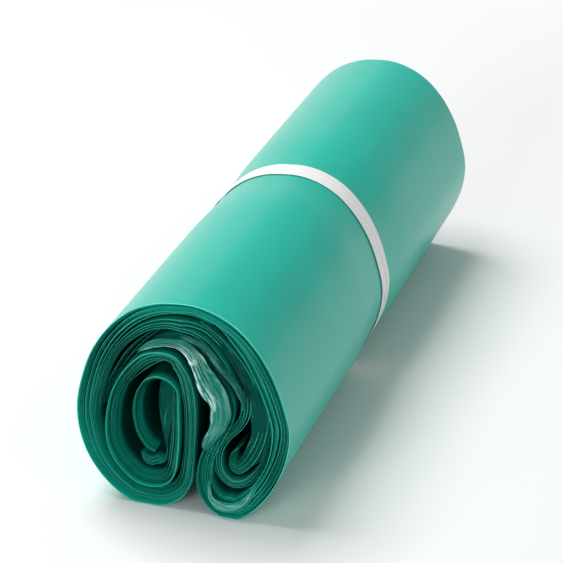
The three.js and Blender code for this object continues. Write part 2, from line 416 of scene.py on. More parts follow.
def put_values(mesh: bpy.types.Mesh, name: str, values: Sequence[float]) -> None:
    """Stores one number at each of a mesh's points under a name."""
    attribute = mesh.attributes.new(name, "FLOAT", "POINT")
    attribute.data.foreach_set("value", np.asarray(values, np.float32))


def operator(operation: str, swapped: bool = False) -> Callable[["Term", "Wire"], "Term"]:
    """Makes the method behind a sign, which adds one node of arithmetic.

    Args:
        operation: the node's operation.
        swapped: whether the term stands after the sign.

    Returns:
        The method.
    """

    def apply(term: "Term", other: "Wire") -> "Term":
        """The result of the sign between a term and something else."""
        return term.sheet.step(operation, *((other, term) if swapped else (term, other)))

    return apply


class Term:
    """A node's output that sums can be written with. Every sign adds a node."""

    def __init__(self, sheet: "NodeSheet", socket: bpy.types.NodeSocket) -> None:
        """Keeps the output and the sheet that the nodes go into."""
        self.sheet = sheet
        self.socket = socket

    __add__, __radd__ = operator("ADD"), operator("ADD", swapped=True)
    __sub__, __rsub__ = operator("SUBTRACT"), operator("SUBTRACT", swapped=True)
    __mul__, __rmul__ = operator("MULTIPLY"), operator("MULTIPLY", swapped=True)
    __truediv__ = operator("DIVIDE")

    def __abs__(self) -> "Term":
        """Its distance from zero."""
        return self.sheet.step("ABSOLUTE", self)

    def scaled(self, factor: "Wire") -> "Term":
        """A vector times a number."""
        return self.sheet.step("SCALE", self, factor)


Wire = Term | bpy.types.NodeSocket | float | int | tuple


class NodeSheet:
    """Adds nodes to a tree and joins them."""

    def __init__(self, tree: bpy.types.NodeTree) -> None:
        """Keeps the tree that the nodes go into."""
        self.tree = tree

    def node(self, kind: str, **settings: object) -> bpy.types.Node:
        """A new node of a kind, with its settings."""
        node = self.tree.nodes.new(kind)
        for name, value in settings.items():
            setattr(node, name, value)
        return node

    def feed(self, value: Wire, socket: bpy.types.NodeSocket) -> None:
        """Joins an output to a socket, or sets the socket to a plain value."""
        source = value.socket if isinstance(value, Term) else value
        if isinstance(source, bpy.types.NodeSocket):
            self.tree.links.new(source, socket)
        else:
            socket.default_value = source

    def fill(self, node: bpy.types.Node, values: Sequence[Wire]) -> Term:
        """Feeds values to a node's inputs in order, and gives its first output that is in use."""
        for value, socket in zip(values, [s for s in node.inputs if s.enabled]):
            self.feed(value, socket)
        return Term(self, next(s for s in node.outputs if s.enabled))

    def call(self, kind: str, inputs: dict[str, Wire], **settings: object) -> Term:
        """A new node with named inputs joined.

        Args:
            kind: the node's type.
            inputs: what goes into each input, by the input's name.
            settings: the node's own settings.

        Returns:
            The node's first output that is in use.
        """
        node = self.node(kind, **settings)
        for name, value in inputs.items():
            self.feed(value, next(s for s in node.inputs if s.name == name and s.enabled))
        return self.fill(node, ())

    def step(self, operation: str, *values: Wire) -> Term:
        """One step of arithmetic, on vectors where the first value is one."""
        on_vectors = isinstance(values[0], Term) and values[0].socket.type == "VECTOR"
        kind = "ShaderNodeVectorMath" if on_vectors else "ShaderNodeMath"
        return self.fill(self.node(kind, operation=operation), values)

    def xyz(self, x: Wire, y: Wire, z: Wire) -> Term:
        """Three numbers as a vector."""
        return self.call("ShaderNodeCombineXYZ", {"X": x, "Y": y, "Z": z})

    def parts(self, vector: Wire) -> list[Term]:
        """A vector's three numbers."""
        node = self.node("ShaderNodeSeparateXYZ")
        self.feed(vector, node.inputs[0])
        return [Term(self, socket) for socket in node.outputs]

    def ramp(self, value: Wire, start: Wire, stop: Wire, low: Wire = 0.0, high: Wire = 1.0) -> Term:
        """A number that goes smoothly from low to high as the value goes from start to stop."""
        inputs = {"Value": value, "From Min": start, "From Max": stop, "To Min": low, "To Max": high}
        return self.call("ShaderNodeMapRange", inputs, interpolation_type="SMOOTHSTEP", clamp=True)

    def noise(self, at: Wire, detail: float = 1.0, scale: float = 1.0) -> Term:
        """Smooth noise from 0 to 1 at a vector."""
        return self.call("ShaderNodeTexNoise", {"Vector": at, "Scale": scale, "Detail": detail})

    def blend(self, share: Wire, start: Wire, stop: Wire) -> Term:
        """A mix of two shaders."""
        return self.fill(self.node("ShaderNodeMixShader"), (share, start, stop))


class SurfaceSheet(NodeSheet):
    """A new material and its nodes."""

    def __init__(self, name: str) -> None:
        """Starts the material with no nodes."""
        self.material = bpy.data.materials.new(name)
        self.material.use_nodes = True
        self.material.node_tree.nodes.clear()
        super().__init__(self.material.node_tree)

    def known(self, name: str) -> Term:
        """What the piece stores under a name, or 0 where it stores nothing."""
        return Term(self, self.node("ShaderNodeAttribute", attribute_name=name).outputs["Fac"])

    def spot(self) -> Term:
        """The place on the piece."""
        return Term(self, self.node("ShaderNodeTexCoord").outputs["Object"])

    def mix(self, share: Wire, start: Wire, stop: Wire) -> Term:
        """A mix of two colours."""
        node = self.node("ShaderNodeMix", data_type="RGBA")
        self.feed(share, node.inputs["Factor"])
        for value, socket in zip((start, stop), [s for s in node.inputs if s.enabled and s.type == "RGBA"]):
            self.feed(value, socket)
        return self.fill(node, ())

    def close(self, bump: Wire, strength_and_height: Row, inputs: dict[str, Wire]) -> bpy.types.Material:
        """Ends the material in a principled shader.

        Args:
            bump: how high the surface lies, from 0 to 1.
            strength_and_height: how strong the bumps are, and how high.
            inputs: the shader's other inputs by name.

        Returns:
            The material.
        """
        strength, height = strength_and_height
        bumps = {"Height": bump, "Strength": strength, "Distance": height}
        inputs = inputs | {"Normal": self.call("ShaderNodeBump", bumps)}
        return self.end(self.call("ShaderNodeBsdfPrincipled", inputs))

    def end(self, shader: Wire) -> bpy.types.Material:
        """Ends the material in a shader."""
        self.feed(shader, self.node("ShaderNodeOutputMaterial").inputs["Surface"])
        return self.material


class GrowthSheet(NodeSheet):
    """A Geometry Nodes tree that sweeps a loop along a guide mesh and then puts the points in place."""

    def __init__(self, name: str, numbers: Sequence[str], counts: Sequence[str]) -> None:
        """Starts the tree with its named inputs.

        Args:
            name: the tree's name.
            numbers: the names of the inputs that are numbers.
            counts: the names of those that are whole numbers.
        """
        super().__init__(bpy.data.node_groups.new(name, "GeometryNodeTree"))
        kinds = {"Guide": "NodeSocketGeometry", "Loop": "NodeSocketObject", "Surface": "NodeSocketMaterial"}
        kinds |= dict.fromkeys(numbers, "NodeSocketFloat") | dict.fromkeys(counts, "NodeSocketInt")
        for label, kind in kinds.items():
            self.tree.interface.new_socket(name=label, in_out="INPUT", socket_type=kind)
        self.tree.interface.new_socket(name="Geometry", in_out="OUTPUT", socket_type="NodeSocketGeometry")
        source = self.node("NodeGroupInput")
        self.given = {label: Term(self, source.outputs[label]) for label in kinds}

    def known(self, name: str, kind: str = "FLOAT") -> Term:
        """What the geometry stores under a name."""
        return self.call("GeometryNodeInputNamedAttribute", {"Name": name}, data_type=kind)

    def store(
        self, geometry: Wire, name: str, value: Wire, kind: str = "FLOAT", domain: str = "POINT"
    ) -> Term:
        """The geometry with a value stored under a name."""
        inputs = {"Geometry": geometry, "Name": name, "Value": value}
        return self.call("GeometryNodeStoreNamedAttribute", inputs, data_type=kind, domain=domain)

    def path(self) -> Term:
        """The guide as a curve whose points know where they are."""
        curve = self.call("GeometryNodeMeshToCurve", {"Mesh": self.given["Guide"]})
        return self.store(curve, "at", self.call("GeometryNodeInputPosition", {}), "FLOAT_VECTOR")

    def sweep(self, path: Wire) -> Term:
        """The loop swept along a path, with closed ends."""
        info = self.node("GeometryNodeObjectInfo")
        self.feed(self.given["Loop"], info.inputs["Object"])
        loop = self.call("GeometryNodeMeshToCurve", {"Mesh": info.outputs["Geometry"]})
        inputs = {"Curve": path, "Profile Curve": loop, "Fill Caps": True}
        return self.call("GeometryNodeCurveToMesh", inputs)

    def close(self, swept: Wire, place: Wire, stored: dict[str, Wire]) -> bpy.types.NodeTree:
        """Puts the sweep's points in place and ends the tree.

        Args:
            swept: the sweep.
            place: where its points go.
            stored: what the material reads at each point, by name.

        Returns:
            The tree, which gives real and smooth geometry in its material.
        """
        shape = self.call("GeometryNodeSetPosition", {"Geometry": swept, "Position": place})
        for name, value in stored.items():
            shape = self.store(shape, name, value)
        for domain in ("FACE", "EDGE"):
            shape = self.call("GeometryNodeSetShadeSmooth", {"Geometry": shape}, domain=domain)
        shape = self.call("GeometryNodeRealizeInstances", {"Geometry": shape})
        shape = self.call("GeometryNodeSetMaterial", {"Geometry": shape, "Material": self.given["Surface"]})
        self.feed(shape, self.node("NodeGroupOutput").inputs[0])
        return self.tree


@dataclass(frozen=True)
class Loop:
    """The flat loop that is swept into a leaf or a strip.

    Attributes:
        stations: the reaches from the middle to the end that get points, as shares.
        rounding: how far before the end its rounding begins, as a share of half the length.
    """

    stations: Row
    rounding: float

    def make(self, name: str) -> bpy.types.Object:
        """The loop as an object of edges that carries reach and side.

        Args:
            name: the object's name.

        Returns:
            The object, which isn't linked to the scene and only feeds the tree.
        """
        out = [*self.stations, 1 - self.rounding]
        line = [*(-s for s in reversed(out) if s > 0), *out]
        points = [(reach, 1.0) for reach in line] + [(1.0, 0.5)]
        points += [(reach, 0.0) for reach in reversed(line)] + [(-1.0, 0.5)]
        mesh = bpy.data.meshes.new(name)
        count = len(points)
        mesh.from_pydata([(r, s, 0) for r, s in points], [(i, (i + 1) % count) for i in range(count)], [])
        put_values(mesh, "reach", [reach for reach, _ in points])
        put_values(mesh, "side", [side for _, side in points])
        return bpy.data.objects.new(name, mesh)


# The loop of a leaf whose whole length shows.
WHOLE_LOOP = Loop(
    (0.0, 0.04, 0.09, 0.14, 0.19, 0.24, 0.29, 0.36, 0.46, 0.58, 0.7, 0.82, 0.9, 0.955, 0.985, 0.996),
    LEAF_ROUNDING,
)


def grow(
    name: str, guide: bpy.types.Mesh, loop: Loop, tree: bpy.types.NodeTree, values: dict[str, object]
) -> bpy.types.Object:
    """Sweeps a loop along a guide mesh with a Geometry Nodes tree, and keeps the result as a plain mesh.

    Args:
        name: the finished piece's name.
        guide: the mesh that the tree starts from.
        loop: the loop that it sweeps.
        tree: the tree.
        values: the modifier's other inputs by name.

    Returns:
        The piece, at the origin and without a modifier.
    """
    piece = bpy.data.objects.new(name, guide)
    bpy.context.scene.collection.objects.link(piece)
    modifier = piece.modifiers.new(tree.name, "NODES")
    modifier.node_group = tree
    profile = loop.make(f"{name}_loop")
    values = {"Loop": profile} | values
    for item in tree.interface.items_tree:
        if item.in_out == "INPUT" and item.name in values:
            modifier[item.identifier] = values[item.name]
    depsgraph = bpy.context.evaluated_depsgraph_get()
    result = bpy.data.meshes.new_from_object(
        piece.evaluated_get(depsgraph), preserve_all_data_layers=True, depsgraph=depsgraph
    )
    piece.modifiers.remove(modifier)
    piece.data = result
    result.name = name
    bpy.data.meshes.remove(guide)
    bpy.data.objects.remove(profile)
    return piece


def tie(piece: bpy.types.Object, node: str, slot: Slot) -> bpy.types.Object:
    """Ties a finished piece to the pack's body, and hides the frame's node that it stands for."""
    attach(piece, PACK_BODY)
    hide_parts(node)
    return piece


@dataclass(frozen=True)
class LeafHabits:
    """How the leaves of every stack stray, wander and crumple.

    Attributes:
        gap_shares: how much of the given-up thickness every leaf gives up, and how much more of it the
            innermost leaf of a bundle does.
        stray: the length of a wave of straying along the way, and how many waves lie across a band and along
            half a leaf.
        wander: the length of a wave in a leaf's end, and how unlike the ends of two neighbouring leaves and
            of one leaf are.
        crease: the length of a crease along the way and along the pack, and how unlike two leaves' are.
        crumpled: the shares of the half length between which the crumpling sets in.
        tucked: the shares of the half length between which the leaves come back from their tuck.
        dents: how close the dents lie, in waves to the metre, how fine they are and what a length along the
            pack counts for, as a share.
        dent_depth: how deep they are.
        salts: what is added to the seed for single leaves and for bundles.
    """

    gap_shares: Row = (0.4, 1.3)
    stray: Row = (0.035, 2.6, 0.8)
    wander: Row = (0.028, 3.7, 9.0)
    crease: Row = (0.006, 0.009, 0.55)
    crumpled: Row = (0.82, 1.0)
    tucked: Row = (0.8, 0.97)
    dents: Row = (17.0, 1.5, 0.6)
    dent_depth: float = 0.0005
    salts: tuple[int, int] = (11, 23)

    def tree(self, size: PackSize) -> bpy.types.NodeTree:
        """The tree that turns a guide path into a stack of thin leaves along the pack.

        The guide is doubled once for each leaf and swept with a flat loop. Each point of the loop knows its
        reach along the pack, from -1 to 1, and its side of the leaf, 0 outside and 1 inside, and the tree
        puts it in place from those two and the guide's own values.

        Args:
            size: the pack's sizes.

        Returns:
            The tree.
        """
        numbers = (
            "Leaf Fill", "Bundle Gap", "Edge Setback", "Edge Stagger", "Bundle Lip", "Bundle Stagger",
            "Edge Wave", "Tuck Depth",
        )
        sheet = GrowthSheet("Leaf stack", numbers, ("Leaf Count", "Bundle Size", "Seed"))
        given, known = sheet.given, sheet.known
        doubled = sheet.node("GeometryNodeDuplicateElements", domain="SPLINE")
        sheet.feed(sheet.path(), doubled.inputs["Geometry"])
        sheet.feed(given["Leaf Count"], doubled.inputs["Amount"])
        leaves, number = doubled.outputs["Geometry"], doubled.outputs["Duplicate Index"]
        swept = sheet.sweep(sheet.store(leaves, "leaf", number, domain="CURVE"))

        # How deep in the band each point lies, from 0 to 1.
        leaf, reach, side, along = known("leaf"), known("reach"), known("side"), known("along")
        bundle = sheet.step("FLOOR", leaf / given["Bundle Size"])
        last_leaf = given["Leaf Count"] - 1
        last_bundle = sheet.step("FLOOR", last_leaf / given["Bundle Size"])
        total = last_leaf + last_bundle * given["Bundle Gap"] + given["Leaf Fill"]
        in_bundle = leaf - bundle * given["Bundle Size"]
        innermost = sheet.step("COMPARE", in_bundle, given["Bundle Size"] - 1, 0.5)
        every_share, innermost_share = self.gap_shares
        given_up = known("loose") * (innermost * innermost_share + every_share)
        thickness = given["Leaf Fill"] * (1 - given_up)
        depth = (leaf + bundle * given["Bundle Gap"] + side * thickness) / total
        run, rows, lengths = self.stray
        spot = sheet.xyz(along / run, depth * rows, reach * lengths + given["Seed"])
        room = depth * 4 * (1 - depth)
        depth = depth + (sheet.noise(spot) - 0.5) * known("slack") * room

        # How far along the pack it reaches: every leaf's end stands back by its own amount.
        far_end = sheet.step("GREATER_THAN", reach, 0)

        def chance(group: Term, salt: int) -> Term:
            """A number from 0 to 1 for each group of leaves and each end of the pack."""
            inputs = {"ID": group * 2 + far_end, "Seed": given["Seed"] + salt}
            return sheet.call("FunctionNodeRandomValue", inputs, data_type="FLOAT")

        run, rows, ends = self.wander
        spot = sheet.xyz(along / run, leaf * rows, far_end * ends + given["Seed"])
        leaf_salt, bundle_salt = self.salts
        under = sheet.step("MINIMUM", in_bundle, 1)
        setback = given["Edge Setback"] + known("retreat") + under * given["Bundle Lip"]
        setback = setback + chance(leaf, leaf_salt) * given["Edge Stagger"]
        setback = setback + chance(bundle, bundle_salt) * given["Bundle Stagger"]
        setback = setback + sheet.noise(spot, detail=2.0) * given["Edge Wave"] + depth * known("lean")
        leaf_half = size.length / 2 - setback
        y = reach * leaf_half

        # Where it lies in the section, crumpled towards the ends and dented a little all over.
        across, at = known("across", "FLOAT_VECTOR"), known("at", "FLOAT_VECTOR")
        run, length, rows = self.crease
        spot = sheet.xyz(along / run, leaf * rows, y / length)
        crumple = known("crumple") * sheet.ramp(abs(reach), *self.crumpled)
        crease = (sheet.noise(spot, detail=3.0) - 0.5) * crumple
        at_x, _, at_z = sheet.parts(at)
        waves, detail, stretch = self.dents
        dent = sheet.noise(sheet.xyz(at_x, y * stretch, at_z), detail, waves) * self.dent_depth
        tucked = sheet.ramp(abs(reach), *self.tucked, given["Tuck Depth"], 0.0)
        place = at + across.scaled(depth)
        place = place + sheet.step("NORMALIZE", across).scaled(crease + dent + tucked)

        # The waist under the tape.
        tape_edge, middle = size.tape_width / 2, size.height / 2
        x, _, z = sheet.parts(place)
        drawn = sheet.ramp(abs(y), tape_edge, tape_edge + size.waist_run, size.waist_depth, 0.0)
        x = x * (1 - drawn / size.half_width)
        z = (z - middle) * (1 - drawn / middle) + middle
        stored = {"depth": depth, "inset": leaf_half - abs(y), "lip": 1 - under}
        return sheet.close(swept, sheet.xyz(x, y, z), stored)


@dataclass(frozen=True)
class FilmFinish:
    """Satin polythene film, as it looks on the pack's back and on the leaves' ends, with painted shade and
    highlights.

    Attributes:
        name: the material's name.
        colour: the film's colour.
        deep: the colour that some leaves and layers lean to, at random and as painted shade on the ends.
        shaded: the painted shade colour of film deep inside the roll, where little light gets in.
        frost: the colour of creased, stretched film: partly its own whitening, partly a painted sheen.
        rim_highlight: the colour of the painted highlight on a cut or folded edge, where it would catch the
            light.
        roughness: how satin the film is, and how much less so where it is creased.
        leaf_spread: how much the leaves differ from one another.
        mottle: how much the colour wavers, and in how many waves to the metre.
        mottle_noise: the values of the noise between which it does.
        end_depth: between which depths a leaf's end gives way to its faces.
        shade_depth: between which depths behind its end a leaf takes on its painted shade.
        layers: how many fine layers a leaf's end shows, how unlike two leaves' are, and the length of a
            wave in them.
        layer_noise: the values of the noise between which a layer darkens.
        layer_tone: how dark the palest and the darkest layer are.
        end_shading: how much of a leaf's dim, which is painted shade, its end takes on, and how dark it may
            get.
        streaks: the length of a pale streak along the way, how many lie across a band, and how deep behind
            the end they reach.
        streak_noise: the values of the noise between which a streak sets in, and how pale creased film is
            without one.
        edge_width: between which shares of a leaf's end its painted edge highlight fades out.
        edge_depth: between which depths behind the end it fades out.
        edge_light: how bright the painted highlight on every leaf's edge is, and how much brighter on a
            bundle's outermost one.
        glint_run: the length of a wave in that light.
        glint_noise: the values of the noise between which it glints, and how bright it is without a glint.
        sheen: how much the film mirrors, how much less of it the ends and the inside do, and how much more
            of it pale creases do.
        gauge: the waves in the film's gauge, to the metre along each axis.
        gauge_bump: how strong and how high they are.
        refraction: the film's index of refraction.
    """

    name: str = "bag film"
    colour: Row = (0.012, 0.5, 0.385, 1.0)
    deep: Row = (0.0, 0.075, 0.05, 1.0)
    shaded: Row = (0.0, 0.08, 0.06, 1.0)
    frost: Row = (0.6, 0.92, 0.84, 1.0)
    rim_highlight: Row = (0.15, 0.88, 0.7, 1.0)
    roughness: Row = (0.3, 0.08)
    leaf_spread: float = 0.25
    mottle: Row = (0.06, 26.0)
    mottle_noise: Row = (0.35, 0.7)
    end_depth: Row = (0.0001, 0.0003)
    shade_depth: Row = (0.0003, 0.006)
    layers: Row = (3.6, 5.3, 0.05)
    layer_noise: Row = (0.35, 0.65)
    layer_tone: Row = (-0.1, 0.3)
    end_shading: Row = (0.85, 0.97)
    streaks: Row = (0.012, 11.0, 0.004)
    streak_noise: Row = (0.35, 0.62, 0.25)
    edge_width: Row = (0.04, 0.42)
    edge_depth: Row = (0.0003, 0.0007)
    edge_light: Row = (0.08, 0.72)
    glint_run: float = 0.025
    glint_noise: Row = (0.3, 0.65, 0.35)
    sheen: Row = (0.5, 0.47, 0.5)
    gauge: Row = (14.0, 90.0, 14.0)
    gauge_bump: Row = (0.14, 0.0006)
    refraction: float = 1.48

    def make(self) -> bpy.types.Material:
        """The material."""
        sheet = SurfaceSheet(self.name)
        spot = sheet.spot()
        names = ("leaf", "side", "inset", "along", "frost", "shade", "depth")
        leaf, side, inset, along, frost, shade, depth = (sheet.known(name) for name in names)
        end = sheet.ramp(inset, *self.end_depth, 1.0, 0.0)
        # How far painted shade darkens the film inside the roll, away from its ends.
        inside = shade * sheet.ramp(inset, *self.shade_depth)

        # The film's own colour, a little different in each leaf; then painted shade away from the pack's
        # ends, deep in the roll.
        chance = sheet.call("ShaderNodeTexWhiteNoise", {"W": leaf}, noise_dimensions="1D")
        amount, waves = self.mottle
        mottle = sheet.ramp(sheet.noise(spot, 3.0, waves), *self.mottle_noise) * amount
        colour = sheet.mix(chance * self.leaf_spread * shade + mottle, self.colour, self.deep)
        colour = sheet.mix(inside, colour, self.shaded)

        # Each leaf's end shows the bags that it stands for as fine layers; painted shade darkens the gaps
        # between them and, by dim, the ends deeper in the roll.
        rows, shift, run = self.layers
        layers = sheet.noise(sheet.xyz(leaf * shift + side * rows, along / run, depth), detail=2.0)
        shade_share, darkest = self.end_shading
        layers_and_shade = sheet.ramp(layers, *self.layer_noise, *self.layer_tone)
        layers_and_shade = layers_and_shade + sheet.known("dim") * shade_share
        layers_and_shade = sheet.call("ShaderNodeClamp", {"Value": layers_and_shade, "Max": darkest})
        colour = sheet.mix(layers_and_shade * end * shade, colour, self.deep)

        # Stretched and creased film: pale streaks that run the way the leaves run, partly the film's own
        # whitening and partly a painted sheen.
        run, rows, reach = self.streaks
        streak = sheet.noise(sheet.xyz(along / run, depth * rows, inset / reach), detail=3.0)
        pale = frost * sheet.ramp(streak, *self.streak_noise)
        colour = sheet.mix(pale, colour, self.frost)

        # A painted highlight on the outer edge of each leaf's end, brightest where a bundle's outermost leaf
        # stands out.
        every_edge, outermost_edge = self.edge_light
        light = sheet.known("lip") * outermost_edge + every_edge
        glint = sheet.noise(sheet.xyz(along / self.glint_run, depth, 0.0))
        glint = sheet.ramp(glint, *self.glint_noise)
        edge = sheet.ramp(side, *self.edge_width, 1.0, 0.0) * sheet.known("gleam")
        edge = edge * sheet.ramp(inset, *self.edge_depth, 1.0, 0.0) * (light * glint)
        colour = sheet.mix(edge, colour, self.rim_highlight)

        roughness, polish = self.roughness
        sheen, dulled, creased = self.sheen
        dull = sheet.step("MAXIMUM", end * shade, inside)
        inputs = {
            "Base Color": colour,
            "Roughness": frost * -polish + roughness,
            "Specular IOR Level": dull * -dulled + sheen + sheet.step("MINIMUM", pale, 1) * creased,
            "IOR": self.refraction,
        }
        return sheet.close(sheet.noise(spot * self.gauge, detail=3.0), self.gauge_bump, inputs)


@dataclass
class LeafStack:
    """A stack of bags that follows one band of a sheaf.

    Attributes:
        name: the piece's name.
        route: the sheaf that it belongs to, or a route of its own as rows of x, z and thickness in
            millimetres, whose places are counted from 0.
        band: the part of the sheaf or route that it fills.
        leaves: how many leaves it shows.
        fill: how much of its spacing each leaf takes up.
        bundle_size: how many leaves lie close together.
        bundle_gap: the gap between two bundles, in leaf spacings.
        setback: how far all its ends stand back.
        stagger: how much single leaves stand back at random.
        lip: how far each bundle's outermost leaf stands out before the others.
        bundle_stagger: how much whole bundles stand back at random.
        wave: how much a leaf's end wanders along its way.
        tuck: how much deeper the leaves lie away from their ends, where they are out of sight.
        start: the place where it starts.
        seed: the seed of its chances.
        loop: the loop that is swept into its leaves.
        step: the longest step along the guide.
    """

    name: str
    route: Sheaf | Table
    band: Band
    leaves: int
    fill: float = 0.96
    bundle_size: int = 2
    bundle_gap: float = 0.7
    setback: float = 0.0006
    stagger: float = 0.0003
    lip: float = 0.0005
    bundle_stagger: float = 0.0016
    wave: float = 0.001
    tuck: float = 0.0004
    start: float = -math.inf
    seed: int = 1
    loop: Loop = Loop((0.04, 0.16, 0.28, 0.6, 0.86, 0.95, 0.985, 0.996), LEAF_ROUNDING)
    step: float = 0.0026

    def path(self, section: PileSection) -> np.ndarray:
        """The way that it follows, as close points of x, z, thickness and place."""
        if isinstance(self.route, Sheaf):
            path = section.sheaf_path(self.route)
            return path[path[:, 3] >= self.start]
        rows = np.asarray(self.route, float) * MILLIMETRE
        return smooth_curve(np.column_stack([rows, np.arange(len(rows))]), section.steps)

    def build(
        self, section: PileSection, tree: bpy.types.NodeTree, film: bpy.types.Material
    ) -> bpy.types.Object:
        """Makes the stack and ties it to the frame.

        Args:
            section: the section that gives its path.
            tree: the leaves' tree.
            film: its material.

        Returns:
            The finished piece.
        """
        guide = GuidePath(self.path(section), self.band, step=self.step).mesh(f"{self.name}_guide")
        values = {
            "Surface": film,
            "Leaf Count": self.leaves,
            "Leaf Fill": self.fill,
            "Bundle Size": self.bundle_size,
            "Bundle Gap": self.bundle_gap,
            "Edge Setback": self.setback,
            "Edge Stagger": self.stagger,
            "Bundle Lip": self.lip,
            "Bundle Stagger": self.bundle_stagger,
            "Edge Wave": self.wave,
            "Tuck Depth": self.tuck,
            "Seed": self.seed,
        }
        return tie(grow(self.name, guide, self.loop, tree, values), ROLL_NODE, Slot.FILM)


@dataclass(frozen=True)
class StripHabits:
    """How strips of film pucker and pale.

    Attributes:
        ridge: how far from its middle the noise may be on a ridge.
        waver: the length of a wave in a strip's edges, and how unlike its two edges are.
        crest: the shares of a ridge's height between which its crest turns pale.
        pale_reach: how far from its palest line, in half widths, a strip's creases fade, and to what share.
        depth_share: how much of a band's depth the pale streaks take a strip's width for.
        inset: how far behind the pack's end the film of a strip counts as lying.
    """

    ridge: float = 0.16
    waver: Row = (0.02, 4.0)
    crest: Row = (0.4, 0.95)
    pale_reach: Row = (1.1, 0.12)
    depth_share: float = 0.3
    inset: float = 0.01

    def tree(self) -> bpy.types.NodeTree:
        """The tree that sweeps a flat loop along a way and puckers the strip that it makes.

        Each point of the way lies on the strip's one edge, and knows the vector to the other edge and the
        way out of the strip's face.

        Returns:
            The tree.
        """
        numbers = (
            "Strip Thickness", "Pucker Depth", "Pucker Length", "Pucker Rows", "Edge Waver", "Frost And Sheen",
            "Frost Side", "Shade",
        )
        sheet = GrowthSheet("Strip", numbers, ("Seed",))
        given, known = sheet.given, sheet.known
        swept = sheet.sweep(sheet.path())
        reach, side, along, crinkle = known("reach"), known("side"), known("along"), known("crinkle")

        # Creases run along the strip: ridges where the noise crosses its middle.
        spot = sheet.xyz(along / given["Pucker Length"], reach * given["Pucker Rows"], given["Seed"])
        ridge = sheet.ramp(abs(sheet.noise(spot, detail=2.0) - 0.5), 0.0, self.ridge, 1.0, 0.0)
        lift = (1 - reach * reach) * known("bulge") + ridge * (crinkle * given["Pucker Depth"])
        lift = (1 - side) * given["Strip Thickness"] + lift

        run, rows = self.waver
        spot = sheet.xyz(along / run, reach * rows, given["Seed"])
        waver = (sheet.noise(spot) - 0.5) * (given["Edge Waver"] * reach)
        across = known("across", "FLOAT_VECTOR")
        place = known("at", "FLOAT_VECTOR") + across.scaled(reach * 0.5 + 0.5)
        place = place + sheet.step("NORMALIZE", across).scaled(waver)
        place = place + known("outward", "FLOAT_VECTOR").scaled(lift)

        # Pale creases: partly the film's own whitening, partly a painted sheen on their crests.
        fade, least = self.pale_reach
        near = sheet.ramp(reach, given["Frost Side"] - fade, given["Frost Side"], least, 1.0)
        near = sheet.step("MAXIMUM", near, crinkle - 1)
        crest = sheet.ramp(ridge, *self.crest) * sheet.step("MINIMUM", crinkle, 1)
        # frost is read by the material as pale creases with a painted sheen, and shade as painted shade.
        stored = {
            "frost": crest * near * given["Frost And Sheen"],
            "depth": reach * self.depth_share,
            "inset": self.inset,
            "shade": given["Shade"],
        }
        return sheet.close(swept, place, stored)


@dataclass(frozen=True)
class Crinkle:
    """How a strip of film is creased and how pale it is.

    Attributes:
        depth: the height of its creases.
        frost: how pale its creases are: partly their own whitening, partly a painted sheen.
        frost_side: where across it they are palest, from -1 at its right edge to 1 at its left one.
        shade: how far its film is darkened by painted shade.
        seed: the seed of its chances.
        thickness: its thickness.
        length: the length of a crease.
        rows: how many creases lie across it.
        waver: how far its edges stray.
    """

    depth: float
    frost: float
    frost_side: float
    shade: float
    seed: int
    thickness: float = 0.0002
    length: float = 0.013
    rows: float = 2.6
    waver: float = 0.001

    def values(self, surface: bpy.types.Material) -> dict[str, object]:
        """What it gives the strips' tree."""
        return {
            "Surface": surface,
            "Strip Thickness": self.thickness,
            "Pucker Depth": self.depth,
            "Pucker Length": self.length,
            "Pucker Rows": self.rows,
            "Edge Waver": self.waver,
            "Frost And Sheen": self.frost,
            "Frost Side": self.frost_side,
            "Shade": self.shade,
            "Seed": self.seed,
        }


@dataclass
class Flap:
    """Loose edges of film that are folded over the leaves' ends at the front.

    Attributes:
        name: the piece's name.
        edges: rows along its way, in millimetres: x and z of its left edge, x and z of its right edge, how
            far the two stand back from the pack's end, how far it bulges and how crinkled it is, as a share.
        crinkle: how it is creased.
        steps: how many steps each stretch of its way gets.
        cells: how many points lie between its middle and its edge.
        rounding: how far before its edge its rounding begins, as a share of half its width.
    """

    name: str
    edges: Table
    crinkle: Crinkle
    steps: int = 16
    cells: int = 18
    rounding: float = 0.03

    def build(
        self, size: PackSize, tree: bpy.types.NodeTree, film: bpy.types.Material
    ) -> bpy.types.Object:
        """Makes the flap and ties it to the frame.

        Args:
            size: the pack's sizes.
            tree: the strips' tree.
            film: its material.

        Returns:
            The finished piece.
        """
        rows = smooth_curve(np.asarray(self.edges, float), self.steps)
        rows[:, :7] *= MILLIMETRE
        left = np.column_stack([rows[:, 0], rows[:, 4] - size.length / 2, rows[:, 1]])
        right = np.column_stack([rows[:, 2], rows[:, 5] - size.length / 2, rows[:, 3]])
        outward = np.tile([0.0, -1.0, 0.0], (len(rows), 1))
        vectors = {"across": left - right, "outward": outward}
        traits = {"along": travelled(rows), "bulge": rows[:, 6], "crinkle": rows[:, 7]}
        guide = guide_mesh(f"{self.name}_guide", right, vectors, traits)
        loop = Loop(tuple(i / self.cells for i in range(self.cells)), self.rounding)
        piece = grow(self.name, guide, loop, tree, self.crinkle.values(film))
        return tie(piece, ROLL_NODE, Slot.FILM)


